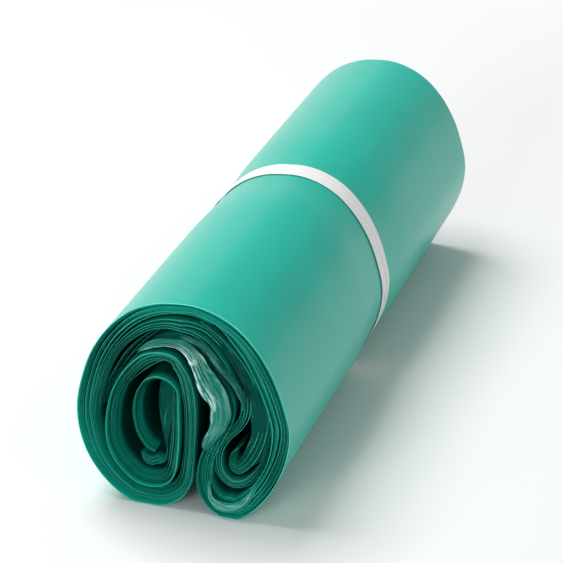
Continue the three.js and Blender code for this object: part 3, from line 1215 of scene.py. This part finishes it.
@dataclass
class BagRoll:
    """The pile of bags: the outermost bag, the stacks of leaves under it, and the flaps over their ends.

    Attributes:
        size: the pack's sizes.
        finish: how the film looks.
    """

    size: PackSize
    finish: FilmFinish = FilmFinish()

    def stacks(self) -> list[LeafStack]:
        """Every stack of the roll, from the outside in."""
        return [*self.outer_stacks(), *self.inner_stacks(), *self.loose_stacks()]

    def outer_stacks(self) -> list[LeafStack]:
        """The outer sheaf: its outermost bag, the leaves under it, and their lining on the right."""
        # Each band's shade and dim are painted shade, heaviest deep in the roll, and its gleam is a painted
        # highlight on the leaves' edges.
        bag = Band(
            edges=(
                (-9.8, 0.0, 0.3), (-4.8, 0.0, 0.3), (-3.8, 0.0, 0.14), (-1.0, 0.0, 0.08), (0.0, 0.0, 0.08),
                (1.0, 0.0, 0.045), (4.4, 0.0, 0.06),
            ),
            slack=((0.0, 0.0),),
            crumple=((0.0, 0.0002),),
            loose=((0.0, 0.0),),
            shade=((-2.5, 1.0), (-2.1, 0.0), (2.2, 0.0), (2.6, 1.0)),
            dim=(
                (-9.0, 1.0), (-6.8, 0.2), (-4.6, 0.2), (-3.8, 1.0), (-3.0, 1.0), (-2.3, 0.0), (2.3, 0.0),
                (2.8, 0.8),
            ),
        )
        leaves = Band(
            edges=(
                (-9.8, 0.4, 1.0), (-4.8, 0.4, 1.0), (-3.8, 0.2, 1.0), (-1.0, 0.13, 1.0), (0.0, 0.11, 1.0),
                (0.25, 0.13, 0.98), (0.55, 0.18, 0.7), (0.8, 0.18, 0.6), (1.0, 0.18, 0.5), (1.3, 0.14, 0.66),
                (2.0, 0.12, 0.58), (3.0, 0.09, 0.54), (4.4, 0.08, 0.6),
            ),
            slack=((-9.8, 0.16), (-1.0, 0.22), (0.0, 0.08), (1.0, 0.22), (4.4, 0.2)),
            crumple=((2.8, 0.0002), (3.2, 0.0012), (4.4, 0.0014)),
            retreat=((2.9, 0.0), (3.15, 0.002), (4.2, 0.003), (4.4, 0.0015)),
            loose=(
                (-2.0, 0.2), (-0.9, 0.42), (-0.45, 0.3), (-0.2, 0.0), (0.35, 0.0), (0.6, 0.2), (4.4, 0.3),
            ),
            gleam=((-0.6, 1.0), (-0.25, 0.15), (0.35, 0.15), (0.7, 1.0)),
            dim=(
                (-6.0, 1.1), (-3.2, 1.05), (-2.3, 0.45), (-1.1, 0.6), (-0.85, 0.95), (-0.6, 0.8),
                (-0.35, 0.35), (0.3, 0.35), (0.8, 0.95), (1.3, 0.8), (1.7, 0.3), (2.2, 0.08), (2.8, 0.9),
                (3.1, 0.6), (3.7, 0.6), (4.4, 1.0),
            ),
        )
        lining = Band(
            edges=(
                (0.2, 0.94, 1.0), (0.55, 0.76, 1.0), (0.8, 0.7, 0.98), (1.0, 0.62, 0.95), (1.15, 0.7, 1.0),
                (1.3, 0.74, 1.0), (1.5, 0.72, 1.05), (1.75, 0.7, 1.1), (1.9, 0.68, 1.14), (2.15, 0.66, 1.12),
                (2.35, 0.64, 1.03), (3.0, 0.6, 1.0), (4.4, 0.65, 1.0),
            ),
            slack=((1.0, 0.16), (4.4, 0.2)),
            crumple=((2.8, 0.0002), (3.2, 0.0012), (4.4, 0.0014)),
            retreat=(
                (0.2, 0.003), (0.8, 0.0012), (2.9, 0.0012), (3.15, 0.0035), (4.2, 0.0045), (4.4, 0.003),
            ),
            loose=((0.0, 0.2), (3.0, 0.3)),
            dim=((0.2, 0.9), (1.0, 0.6), (2.2, 0.3), (2.8, 0.9), (3.1, 0.5), (3.7, 0.5), (4.4, 1.0)),
        )
        return [
            LeafStack(
                "outer_bag", Sheaf.OUTER, bag, leaves=1, fill=1.0, setback=0.0, stagger=0.0,
                bundle_stagger=0.0, wave=0.0005, tuck=0.0, loop=WHOLE_LOOP, step=0.0018,
            ),
            LeafStack("outer_sheaf", Sheaf.OUTER, leaves, leaves=5, seed=3, bundle_gap=0.1),
            LeafStack(
                "outer_sheaf_lining", Sheaf.OUTER, lining, leaves=4, start=0.2, seed=5,
                bundle_size=3, bundle_gap=0.3,
            ),
        ]

    def inner_stacks(self) -> list[LeafStack]:
        """The inner sheaf: a loose skin, then two bundles with a dark gap between them at the crown."""
        skin = Band(
            edges=((-9.8, 0.0, 0.14), (-1.0, 0.0, 0.16), (0.0, 0.0, 0.07), (3.3, 0.0, 0.12)),
            slack=((0.0, 0.0),),
            retreat=(
                (-1.2, 0.0), (0.0, 0.002), (0.3, 0.007), (0.7, 0.008), (0.9, 0.0035), (1.4, 0.003),
                (3.0, 0.002),
            ),
            dim=((-6.0, 1.1), (-2.0, 1.0), (0.0, 0.9), (0.7, 0.9), (0.9, 0.4), (1.4, 0.6), (3.3, 1.0)),
        )
        middle = Band(
            edges=(
                (-9.8, 0.18, 0.56), (-1.0, 0.2, 0.54), (-0.5, 0.3, 0.58), (0.0, 0.38, 0.64),
                (0.5, 0.3, 0.55), (3.3, 0.16, 0.5),
            ),
            slack=((-9.8, 0.1), (-0.5, 0.22), (0.5, 0.2), (3.0, 0.1)),
            retreat=(
                (-1.2, 0.0), (0.0, 0.001), (0.3, 0.005), (0.7, 0.007), (0.9, 0.003), (1.4, 0.0025),
                (3.0, 0.002),
            ),
            dim=((-6.0, 1.1), (-2.0, 1.0), (-0.5, 0.85), (0.7, 0.85), (0.9, 0.5), (1.4, 0.7), (3.3, 1.0)),
        )
        lining = Band(
            edges=(
                (-9.8, 0.6, 1.0), (-1.0, 0.62, 1.0), (-0.4, 0.72, 1.0), (0.0, 0.8, 1.0), (0.4, 0.62, 1.0),
                (3.3, 0.55, 1.0),
            ),
            slack=((-9.8, 0.1), (-0.5, 0.2), (0.5, 0.2), (3.0, 0.1)),
            crumple=((0.0, 0.0002), (0.4, 0.001), (0.8, 0.001), (1.4, 0.0003)),
            retreat=((-1.2, 0.0), (0.0, 0.0004), (0.5, 0.001), (1.0, 0.003), (3.0, 0.002)),
            dim=((-6.0, 1.15), (-2.0, 1.1), (-0.5, 1.0), (0.3, 0.85), (1.0, 0.95), (3.3, 1.0)),
        )
        return [
            LeafStack("inner_skin", Sheaf.INNER, skin, leaves=1, seed=7, setback=0.0012, wave=0.002),
            LeafStack("inner_sheaf", Sheaf.INNER, middle, leaves=3, seed=8, setback=0.0012),
            LeafStack("inner_sheaf_lining", Sheaf.INNER, lining, leaves=4, seed=9, setback=0.0014),
        ]

    def loose_stacks(self) -> list[LeafStack]:
        """The bags' loose ends that lie between the turns and inside the two scrolls."""
        shoulder = (
            (-38.6, 42.0, 0.5), (-36.8, 49.5, 1.2), (-33.6, 57.5, 2.5), (-30.3, 64.0, 4.0),
            (-25.5, 71.5, 5.0), (-20.0, 76.8, 4.5), (-13.0, 81.3, 3.5), (-5.0, 83.6, 1.6), (2.0, 83.9, 1.0),
        )
        sag = (
            (8.0, 90.0, 1.0), (14.5, 86.0, 2.0), (22.0, 79.0, 3.5), (28.8, 69.5, 4.5), (33.6, 58.5, 5.5),
            (35.8, 50.0, 5.5), (36.2, 42.0, 4.5), (34.6, 35.0, 2.0),
        )
        tuck = (
            (-7.2, 47.0, 0.8), (-7.4, 41.0, 2.6), (-7.6, 35.0, 2.2), (-7.9, 30.0, 1.6), (-7.9, 25.0, 1.2),
            (-9.2, 20.4, 1.2), (-12.5, 17.4, 1.0), (-17.0, 16.8, 0.8),
        )
        crumple = (
            (-20.5, 22.6, 1.0), (-19.0, 19.8, 2.0), (-16.8, 19.2, 2.4), (-14.8, 20.8, 2.6),
            (-12.4, 20.2, 2.0), (-10.6, 22.4, 1.0),
        )
        curl = (
            (38.6, 60.0, 1.2), (37.8, 50.0, 5.0), (35.8, 39.0, 7.0), (32.4, 30.0, 7.0), (28.3, 24.0, 5.6),
            (24.2, 20.8, 4.6), (20.8, 21.3, 3.2), (19.0, 24.2, 1.8), (19.2, 28.0, 1.2), (20.8, 31.2, 0.9),
            (23.4, 33.0, 0.6),
        )
        lining = (
            (-31.8, 38.0, 0.4), (-31.4, 46.0, 1.2), (-29.4, 53.0, 2.2), (-25.6, 59.6, 3.2),
            (-20.8, 65.4, 4.2), (-15.0, 70.3, 4.6), (-9.5, 72.6, 4.6), (-3.8, 71.8, 4.6), (0.6, 68.2, 3.8),
            (3.0, 62.0, 2.4), (3.6, 54.0, 1.0),
        )
        return [
            LeafStack(
                "shoulder_leaves", shoulder,
                Band(
                    slack=((0.0, 0.2),), lean=((0.0, 0.004),), retreat=((4.0, 0.0), (6.0, 0.005)),
                    gleam=((2.0, 0.7), (4.0, 0.3)), dim=((0.0, 1.1),),
                ),
                leaves=5, seed=13, setback=0.0045,
            ),
            LeafStack(
                "sagging_leaves", sag,
                Band(slack=((0.0, 0.25),), lean=((0.0, 0.003),), gleam=((0.0, 0.5),), dim=((0.0, 0.8),)),
                leaves=4, seed=14, setback=0.0035,
            ),
            LeafStack(
                "turn_lining", lining,
                Band(slack=((0.0, 0.2),), lean=((0.0, 0.003),), dim=((0.0, 0.9),)),
                leaves=5, seed=21, setback=0.0025,
            ),
            LeafStack(
                "eye_tuck", tuck,
                Band(crumple=((0.0, 0.0004), (4.0, 0.0008), (7.0, 0.0016)), dim=((0.0, 1.0),)),
                leaves=3, seed=15, setback=0.0035, stagger=0.001,
            ),
            LeafStack(
                "eye_crumple", crumple,
                Band(crumple=((0.0, 0.0028),), gleam=((0.0, 0.6),), dim=((0.0, 0.5),)),
                leaves=4, seed=17, setback=0.004, bundle_size=1, stagger=0.002,
            ),
            LeafStack(
                "curl_leaves", curl,
                Band(
                    slack=((0.0, 0.25),), lean=((0.0, 0.005),), crumple=((3.0, 0.0004), (6.0, 0.0014)),
                    dim=((0.0, 1.1), (6.0, 1.0)),
                ),
                leaves=7, seed=19, setback=0.003,
            ),
        ]

    def flaps(self) -> list[Flap]:
        """The loose edges of film that are folded over the leaves' ends at the front."""
        tongue = (
            (9.2, 30.5, 11.0, 31.0, 3.0, 4.0, 0.3, 0.2), (8.4, 33.0, 13.5, 34.8, 1.5, 3.5, 0.5, 0.3),
            (9.4, 37.2, 16.2, 38.4, 0.9, 3.2, 0.8, 0.4), (12.3, 43.5, 19.6, 44.0, 0.6, 3.0, 1.0, 0.4),
            (12.8, 49.5, 21.6, 49.5, 0.6, 3.0, 1.0, 0.5), (13.2, 54.0, 21.3, 55.5, 0.6, 3.0, 1.0, 0.8),
            (11.6, 57.0, 20.2, 61.0, 0.5, 2.8, 1.0, 1.0), (9.2, 60.5, 18.0, 65.2, 0.4, 2.6, 1.0, 1.0),
            (7.4, 65.0, 15.3, 69.0, 0.4, 2.4, 1.0, 1.0), (5.9, 69.8, 12.6, 72.8, 0.4, 2.2, 0.9, 1.15),
            (4.2, 75.0, 10.2, 77.3, 0.4, 2.0, 0.8, 1.3), (0.8, 78.6, 3.2, 82.4, 0.4, 1.8, 0.6, 1.1),
            (-4.0, 79.4, -3.6, 82.4, 0.5, 1.8, 0.5, 0.7), (-9.0, 78.3, -9.4, 81.2, 0.8, 2.0, 0.4, 0.5),
            (-13.3, 76.4, -14.2, 78.8, 1.4, 2.4, 0.3, 0.45), (-17.2, 73.8, -18.0, 75.2, 3.0, 3.4, 0.2, 0.4),
            (-21.0, 70.6, -21.4, 71.2, 7.0, 7.0, 0.0, 0.1),
        )
        bundle = (
            (26.4, 53.0, 27.6, 53.2, 3.0, 3.4, 0.2, 0.4), (26.0, 58.0, 28.2, 58.6, 2.2, 2.8, 0.3, 0.8),
            (23.6, 63.5, 26.0, 64.6, 1.8, 2.6, 0.3, 1.0), (20.2, 68.0, 22.6, 69.4, 1.6, 2.6, 0.3, 1.0),
            (16.6, 72.2, 19.0, 74.0, 1.4, 2.4, 0.3, 1.0), (13.4, 76.2, 15.6, 78.3, 1.4, 2.4, 0.3, 1.0),
            (9.6, 80.2, 11.2, 82.5, 1.4, 2.4, 0.3, 1.0), (5.0, 82.6, 5.6, 84.6, 1.6, 2.4, 0.3, 0.8),
            (0.4, 83.4, 0.6, 84.6, 2.4, 3.0, 0.2, 0.4),
        )
        eye = (
            (-9.2, 27.0, -8.2, 27.0, 5.0, 5.0, 0.0, 0.3), (-10.4, 33.0, -7.8, 33.0, 6.0, 4.5, 0.2, 0.4),
            (-12.4, 40.0, -6.2, 40.5, 8.0, 5.0, 0.4, 0.5), (-13.5, 49.5, -4.4, 49.0, 10.0, 5.0, 0.6, 0.5),
            (-12.6, 56.5, -2.8, 55.5, 11.0, 5.0, 0.6, 0.5), (-9.8, 61.5, -3.4, 59.8, 10.0, 5.0, 0.3, 0.3),
        )
        coil = (
            (22.0, 25.5, 23.5, 23.0, 9.0, 8.0, 0.0, 0.3), (24.6, 28.0, 28.5, 24.5, 9.5, 7.0, 0.2, 0.4),
            (26.8, 32.8, 34.0, 29.5, 9.5, 6.5, 0.4, 0.5), (27.8, 39.4, 37.2, 37.0, 9.0, 6.0, 0.6, 0.6),
            (28.2, 46.5, 38.2, 46.5, 8.0, 5.6, 0.6, 0.6), (27.7, 54.5, 36.8, 55.5, 7.0, 5.6, 0.5, 0.6),
            (25.6, 61.5, 34.4, 63.0, 7.0, 7.0, 0.4, 0.6), (22.4, 67.5, 31.0, 70.5, 7.5, 7.5, 0.3, 0.6),
            (18.6, 73.0, 26.4, 77.6, 8.0, 8.0, 0.3, 0.5), (14.0, 78.0, 20.0, 83.6, 9.0, 9.0, 0.2, 0.4),
        )
        foot = (
            (10.3, 18.6, 9.7, 18.4, 7.0, 7.0, 0.0, 0.1), (11.4, 13.0, 9.6, 12.2, 2.6, 3.0, 0.2, 0.6),
            (13.2, 9.6, 10.8, 7.2, 1.3, 1.7, 0.6, 1.1), (16.2, 8.0, 14.4, 4.2, 1.0, 1.4, 0.8, 1.3),
            (19.6, 7.6, 18.6, 3.4, 1.0, 1.4, 0.8, 1.3), (23.0, 8.6, 23.4, 4.4, 1.0, 1.4, 0.7, 1.3),
            (26.2, 11.0, 27.6, 7.6, 1.4, 1.7, 0.5, 1.1), (28.8, 14.4, 30.6, 12.4, 2.6, 2.8, 0.2, 0.6),
            (31.6, 19.6, 32.4, 19.0, 7.0, 7.0, 0.0, 0.1),
        )
        # Each flap's shade is painted shade, darkest deep in the eye and the coil.
        return [
            Flap("tongue_flap", tongue, Crinkle(0.001, frost=1.6, frost_side=0.95, shade=0.62, seed=31)),
            Flap("bundle_flap", bundle, Crinkle(0.0009, frost=0.18, frost_side=0.5, shade=0.8, seed=35)),
            Flap("eye_flap", eye, Crinkle(0.0006, frost=0.1, frost_side=1.0, shade=1.0, seed=33)),
            Flap("coil_flap", coil, Crinkle(0.0012, frost=0.06, frost_side=1.0, shade=1.0, seed=37)),
            Flap("foot_flap", foot, Crinkle(0.0012, frost=0.42, frost_side=0.3, shade=0.28, seed=41)),
        ]

    def build(self) -> list[bpy.types.Object]:
        """Makes every stack and flap.

        Returns:
            The pieces.
        """
        section = PileSection(self.size)
        film = self.finish.make()
        leaves, strips = LeafHabits().tree(self.size), StripHabits().tree()
        return [
            *(stack.build(section, leaves, film) for stack in self.stacks()),
            *(flap.build(self.size, strips, film) for flap in self.flaps()),
        ]


@dataclass(frozen=True)
class TapeFinish:
    """Thin white film tape that lets a little of the bags' colour through.

    Attributes:
        name: the material's name.
        colour: the tape's colour.
        streaks: the waves in the tape's film, to the metre along each axis.
        roughness: how rough it is between the streaks, and how much more so on them.
        cover: how much of what lies under it the thinnest and the thickest film hides.
        cover_noise: the values of the noise between which the film is neither.
        bump: how strong and how high the streaks are.
        refraction: the film's index of refraction.
    """

    name: str = "tape film"
    colour: Row = (0.93, 0.935, 0.925, 1.0)
    streaks: Row = (30.0, 1400.0, 30.0)
    roughness: Row = (0.2, 0.2)
    cover: Row = (0.9, 0.98)
    cover_noise: Row = (0.3, 0.5)
    bump: Row = (0.1, 0.0004)
    refraction: float = 1.5

    def make(self) -> bpy.types.Material:
        """The material."""
        sheet = SurfaceSheet(self.name)
        streaks = sheet.noise(sheet.spot() * self.streaks, detail=2.0)
        smooth, rougher = self.roughness
        inputs = {
            "Base Color": self.colour,
            "Roughness": streaks * rougher + smooth,
            "IOR": self.refraction,
            "Alpha": sheet.ramp(streaks, *self.cover_noise, *self.cover),
        }
        return sheet.close(streaks, self.bump, inputs)


@dataclass(frozen=True)
class FloorFinish:
    """A plain white floor that keeps the pack's shadow and turns to plain white further out.

    Attributes:
        name: the material's name.
        colour: the floor's colour.
        shadow_reach: how far from the middle it shows shadows in full.
        plain_from: from how far it is plain white.
    """

    name: str = "floor"
    colour: Row = (0.93, 0.935, 0.935, 1.0)
    shadow_reach: float = 0.3
    plain_from: float = 0.7

    def make(self) -> bpy.types.Material:
        """The material."""
        sheet = SurfaceSheet(self.name)
        plain = sheet.ramp(sheet.step("LENGTH", sheet.spot()), self.shadow_reach, self.plain_from)
        rays = sheet.node("ShaderNodeLightPath").outputs
        seen = sheet.step("MAXIMUM", rays["Is Camera Ray"], rays["Is Glossy Ray"])
        matt = sheet.call("ShaderNodeBsdfDiffuse", {"Color": self.colour})
        white = sheet.call("ShaderNodeEmission", {"Color": WHITE})
        return sheet.end(sheet.blend(plain * seen, matt, white))


def turns_right(a: np.ndarray, b: np.ndarray, c: np.ndarray) -> bool:
    """Whether the way from a over b to c bends to the right, or not at all."""
    return (b[0] - a[0]) * (c[1] - b[1]) - (b[1] - a[1]) * (c[0] - b[0]) <= 0


def taut_line(points: np.ndarray) -> np.ndarray:
    """The outer corners of a set of section points, anticlockwise, which is the way of a taut tape."""
    ordered = points[np.lexsort((points[:, 1], points[:, 0]))]
    line: list[np.ndarray] = []
    for run in (ordered, ordered[::-1]):
        chain: list[np.ndarray] = []
        for point in run:
            while len(chain) > 1 and turns_right(chain[-2], chain[-1], point):
                chain.pop()
            chain.append(point)
        line += chain[:-1]
    return np.array(line)


@dataclass
class TapeBand:
    """The strip of film tape round the pack's middle, lapped over its own start underneath.

    Attributes:
        size: the pack's sizes.
        gap: the distance between the bags and the tape.
        lap: how long its end lies over its start.
        lap_gap: the distance between the two.
        run_up: how long it takes the end to climb onto the start.
        footing: how much more a point's height counts than its distance from the middle, where the lap's
            place is picked.
        step: the distance between the points of its way.
        reach: how far to each side the way's direction is taken from.
        crinkle: how it is creased.
        loop: the loop that is swept into it.
        finish: how its film looks.
    """

    size: PackSize
    gap: float = 0.00012
    lap: float = 0.026
    lap_gap: float = 0.00004
    run_up: float = 0.004
    footing: float = 10.0
    step: float = 0.0012
    reach: float = 0.0015
    crinkle: Crinkle = Crinkle(
        depth=0.00005, frost=0.0, frost_side=1.0, shade=0.0, seed=4, thickness=0.0001, length=0.05,
        rows=1.2, waver=0.0003,
    )
    loop: Loop = Loop((0.0, 0.12, 0.24, 0.36, 0.48, 0.6, 0.72, 0.84, 0.94, 0.985), 0.01)
    finish: TapeFinish = TapeFinish()

    def guide(self, section: PileSection) -> bpy.types.Mesh:
        """The tape's way: from under the pack once round it and over its start.

        Args:
            section: the section that the tape lies on.

        Returns:
            A chain of edges that carries the outward direction and the distance travelled.
        """
        face = section.sheaf_path(Sheaf.OUTER)[:, :2]
        line = taut_line(self.size.drawn_in(face))
        line = np.vstack([line, line[:1]])
        along = travelled(line)
        girth = along[-1]
        middle = along[np.argmin(np.abs(line[:-1, 0]) + self.footing * line[:-1, 1])]
        places = np.arange(middle - self.lap / 2, middle + girth + self.lap / 2, self.step)
        wrapped = np.mod(places, girth)
        way = np.column_stack([np.interp(wrapped, along, column) for column in line.T])
        outward = right_of(way, self.reach)
        over = np.clip((places - places[0] - girth + self.run_up) / self.run_up, 0, 1)
        lift = self.gap + over * (self.crinkle.thickness + self.lap_gap)
        at = upright(way + outward * lift[:, None]) + [0.0, self.size.tape_width / 2, 0.0]
        across = np.tile([0.0, -self.size.tape_width, 0.0], (len(at), 1))
        vectors = {"outward": upright(outward), "across": across}
        flat = np.zeros(len(at))
        traits = {"along": places - places[0], "bulge": flat, "crinkle": flat + 1}
        return guide_mesh("tape_guide", at, vectors, traits)

    def build(self) -> bpy.types.Object:
        """Makes the tape and ties it to the frame.

        Returns:
            The finished piece.
        """
        guide = self.guide(PileSection(self.size))
        values = self.crinkle.values(self.finish.make())
        return tie(grow("tape", guide, self.loop, StripHabits().tree(), values), TAPE_NODE, Slot.TAPE)


@dataclass(frozen=True)
class Lamp:
    """A square soft lamp.

    Attributes:
        name: the lamp's name.
        place: where it hangs.
        side: the length of its side.
        power: its power in watts.
        mirrored: whether the film mirrors it.
    """

    name: str
    place: Row
    side: float
    power: float
    mirrored: bool = True

    def hang(self, aim: Vector) -> None:
        """Adds the lamp to the scene, pointed at an aim."""
        data = bpy.data.lights.new(self.name, "AREA")
        data.shape = "SQUARE"
        data.size = self.side
        data.energy = self.power
        lamp = bpy.data.objects.new(self.name, data)
        lamp.location = self.place
        lamp.visible_glossy = self.mirrored
        lamp.rotation_mode = "QUATERNION"
        lamp.rotation_quaternion = (aim - Vector(self.place)).to_track_quat("-Z", "Y")
        bpy.context.scene.collection.objects.link(lamp)


@dataclass(frozen=True)
class Studio:
    """The camera at the photograph's angle, soft lamps, a white surround and the floor.

    Attributes:
        camera_place: where the photograph was taken from, in the pack's own frame.
        camera_up: the way that is up in the photograph, in the pack's own frame.
        aim: the point that the camera and the lamps point at.
        sensor: the width of the camera's sensor in millimetres.
        lens: the focal length in millimetres.
        lamps: the lamps.
        surround: the colour of the light from all round.
        surround_strength: how strong that light is.
        ceiling: the heights on a unit sphere between which the mirrored white fades to the ceiling.
        ceiling_lean: how much lower those heights are on the right and higher on the left.
        ceiling_strength: how bright the ceiling is where it is mirrored.
        floor_side: the length of the floor's side.
        floor_finish: how the floor looks.
    """

    camera_place: Row = (0.3068, -0.8749, 0.5193)
    camera_up: Row = (-0.1543, 0.4875, 0.8594)
    aim: Row = (0.0, -0.012, 0.047)
    sensor: float = 36.0
    lens: float = 142.0
    lamps: tuple[Lamp, ...] = (
        Lamp("key_lamp", place=(-0.6, 0.15, 1.5), side=1.0, power=21.0),
        Lamp("fill_lamp", place=(1.2, -0.6, 1.0), side=1.2, power=1.8),
        Lamp("front_lamp", place=(-0.25, -1.5, 0.5), side=0.6, power=7.5, mirrored=False),
    )
    surround: Row = (0.78, 0.8, 0.8, 1.0)
    surround_strength: float = 0.38
    ceiling: Row = (0.05, 0.5)
    ceiling_lean: float = 0.5
    ceiling_strength: float = 0.3
    floor_side: float = 8.0
    floor_finish: FloorFinish = FloorFinish()

    def build(self) -> None:
        """Makes the camera, the lamps, the world and the floor."""
        self.make_camera()
        for lamp in self.lamps:
            lamp.hang(Vector(self.aim))
        self.make_world()
        self.make_floor()

    def make_camera(self) -> None:
        """Sets the camera where the photograph was taken from, aimed at the pack."""
        data = bpy.data.cameras.new("camera")
        data.sensor_width = self.sensor
        data.lens = self.lens
        camera = bpy.data.objects.new("camera", data)
        place, aim = Vector(self.camera_place), Vector(self.aim)
        back = (place - aim).normalized()
        right = Vector(self.camera_up).cross(back).normalized()
        turn = Matrix((right, back.cross(right), back)).transposed()
        camera.matrix_world = Matrix.Translation(place) @ turn.to_4x4()
        bpy.context.scene.collection.objects.link(camera)
        bpy.context.scene.camera = camera

    def make_world(self) -> None:
        """Makes the surround: dim for the light it gives, white where it is seen, and white where it is
        mirrored, apart from overhead, where it is a dim ceiling."""
        world = bpy.data.worlds.new("surround")
        world.use_nodes = True
        world.node_tree.nodes.clear()
        sheet = NodeSheet(world.node_tree)
        rays = sheet.node("ShaderNodeLightPath").outputs
        rightwards, _, upwards = sheet.parts(sheet.node("ShaderNodeTexCoord").outputs["Generated"])
        leaning = rightwards * self.ceiling_lean + upwards
        ceiling = sheet.ramp(leaning, *self.ceiling, 1.0, self.ceiling_strength)
        brightness = sheet.step("MAXIMUM", rays["Is Camera Ray"], ceiling)
        mirrored = sheet.step("MAXIMUM", rays["Is Glossy Ray"], rays["Is Transmission Ray"])
        seen = sheet.step("MAXIMUM", rays["Is Camera Ray"], mirrored)
        soft = {"Color": self.surround, "Strength": self.surround_strength}
        white = {"Color": WHITE, "Strength": brightness}
        both = sheet.blend(seen, *(sheet.call("ShaderNodeBackground", inputs) for inputs in (soft, white)))
        sheet.feed(both, sheet.node("ShaderNodeOutputWorld").inputs["Surface"])
        bpy.context.scene.world = world

    def make_floor(self) -> None:
        """Lays the floor just under the pack."""
        mesh = bpy.data.meshes.new("floor")
        half = self.floor_side / 2
        corners = [(-half, -half, 0), (half, -half, 0), (half, half, 0), (-half, half, 0)]
        mesh.from_pydata(corners, [], [(0, 1, 2, 3)])
        mesh.materials.append(self.floor_finish.make())
        floor = bpy.data.objects.new("floor", mesh)
        bpy.context.scene.collection.objects.link(floor)


def main() -> None:
    logging.basicConfig(level=logging.INFO, format="%(name)s: %(message)s")
    bpy.context.scene.view_settings.view_transform = "Standard"
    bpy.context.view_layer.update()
    size = PackSize()
    Studio().build()
    pieces = [*BagRoll(size).build(), TapeBand(size).build()]
    for piece in pieces:
        LOG.info("%s: %d points, %d faces", piece.name, len(piece.data.vertices), len(piece.data.polygons))


if __name__ == "__main__":
    main()
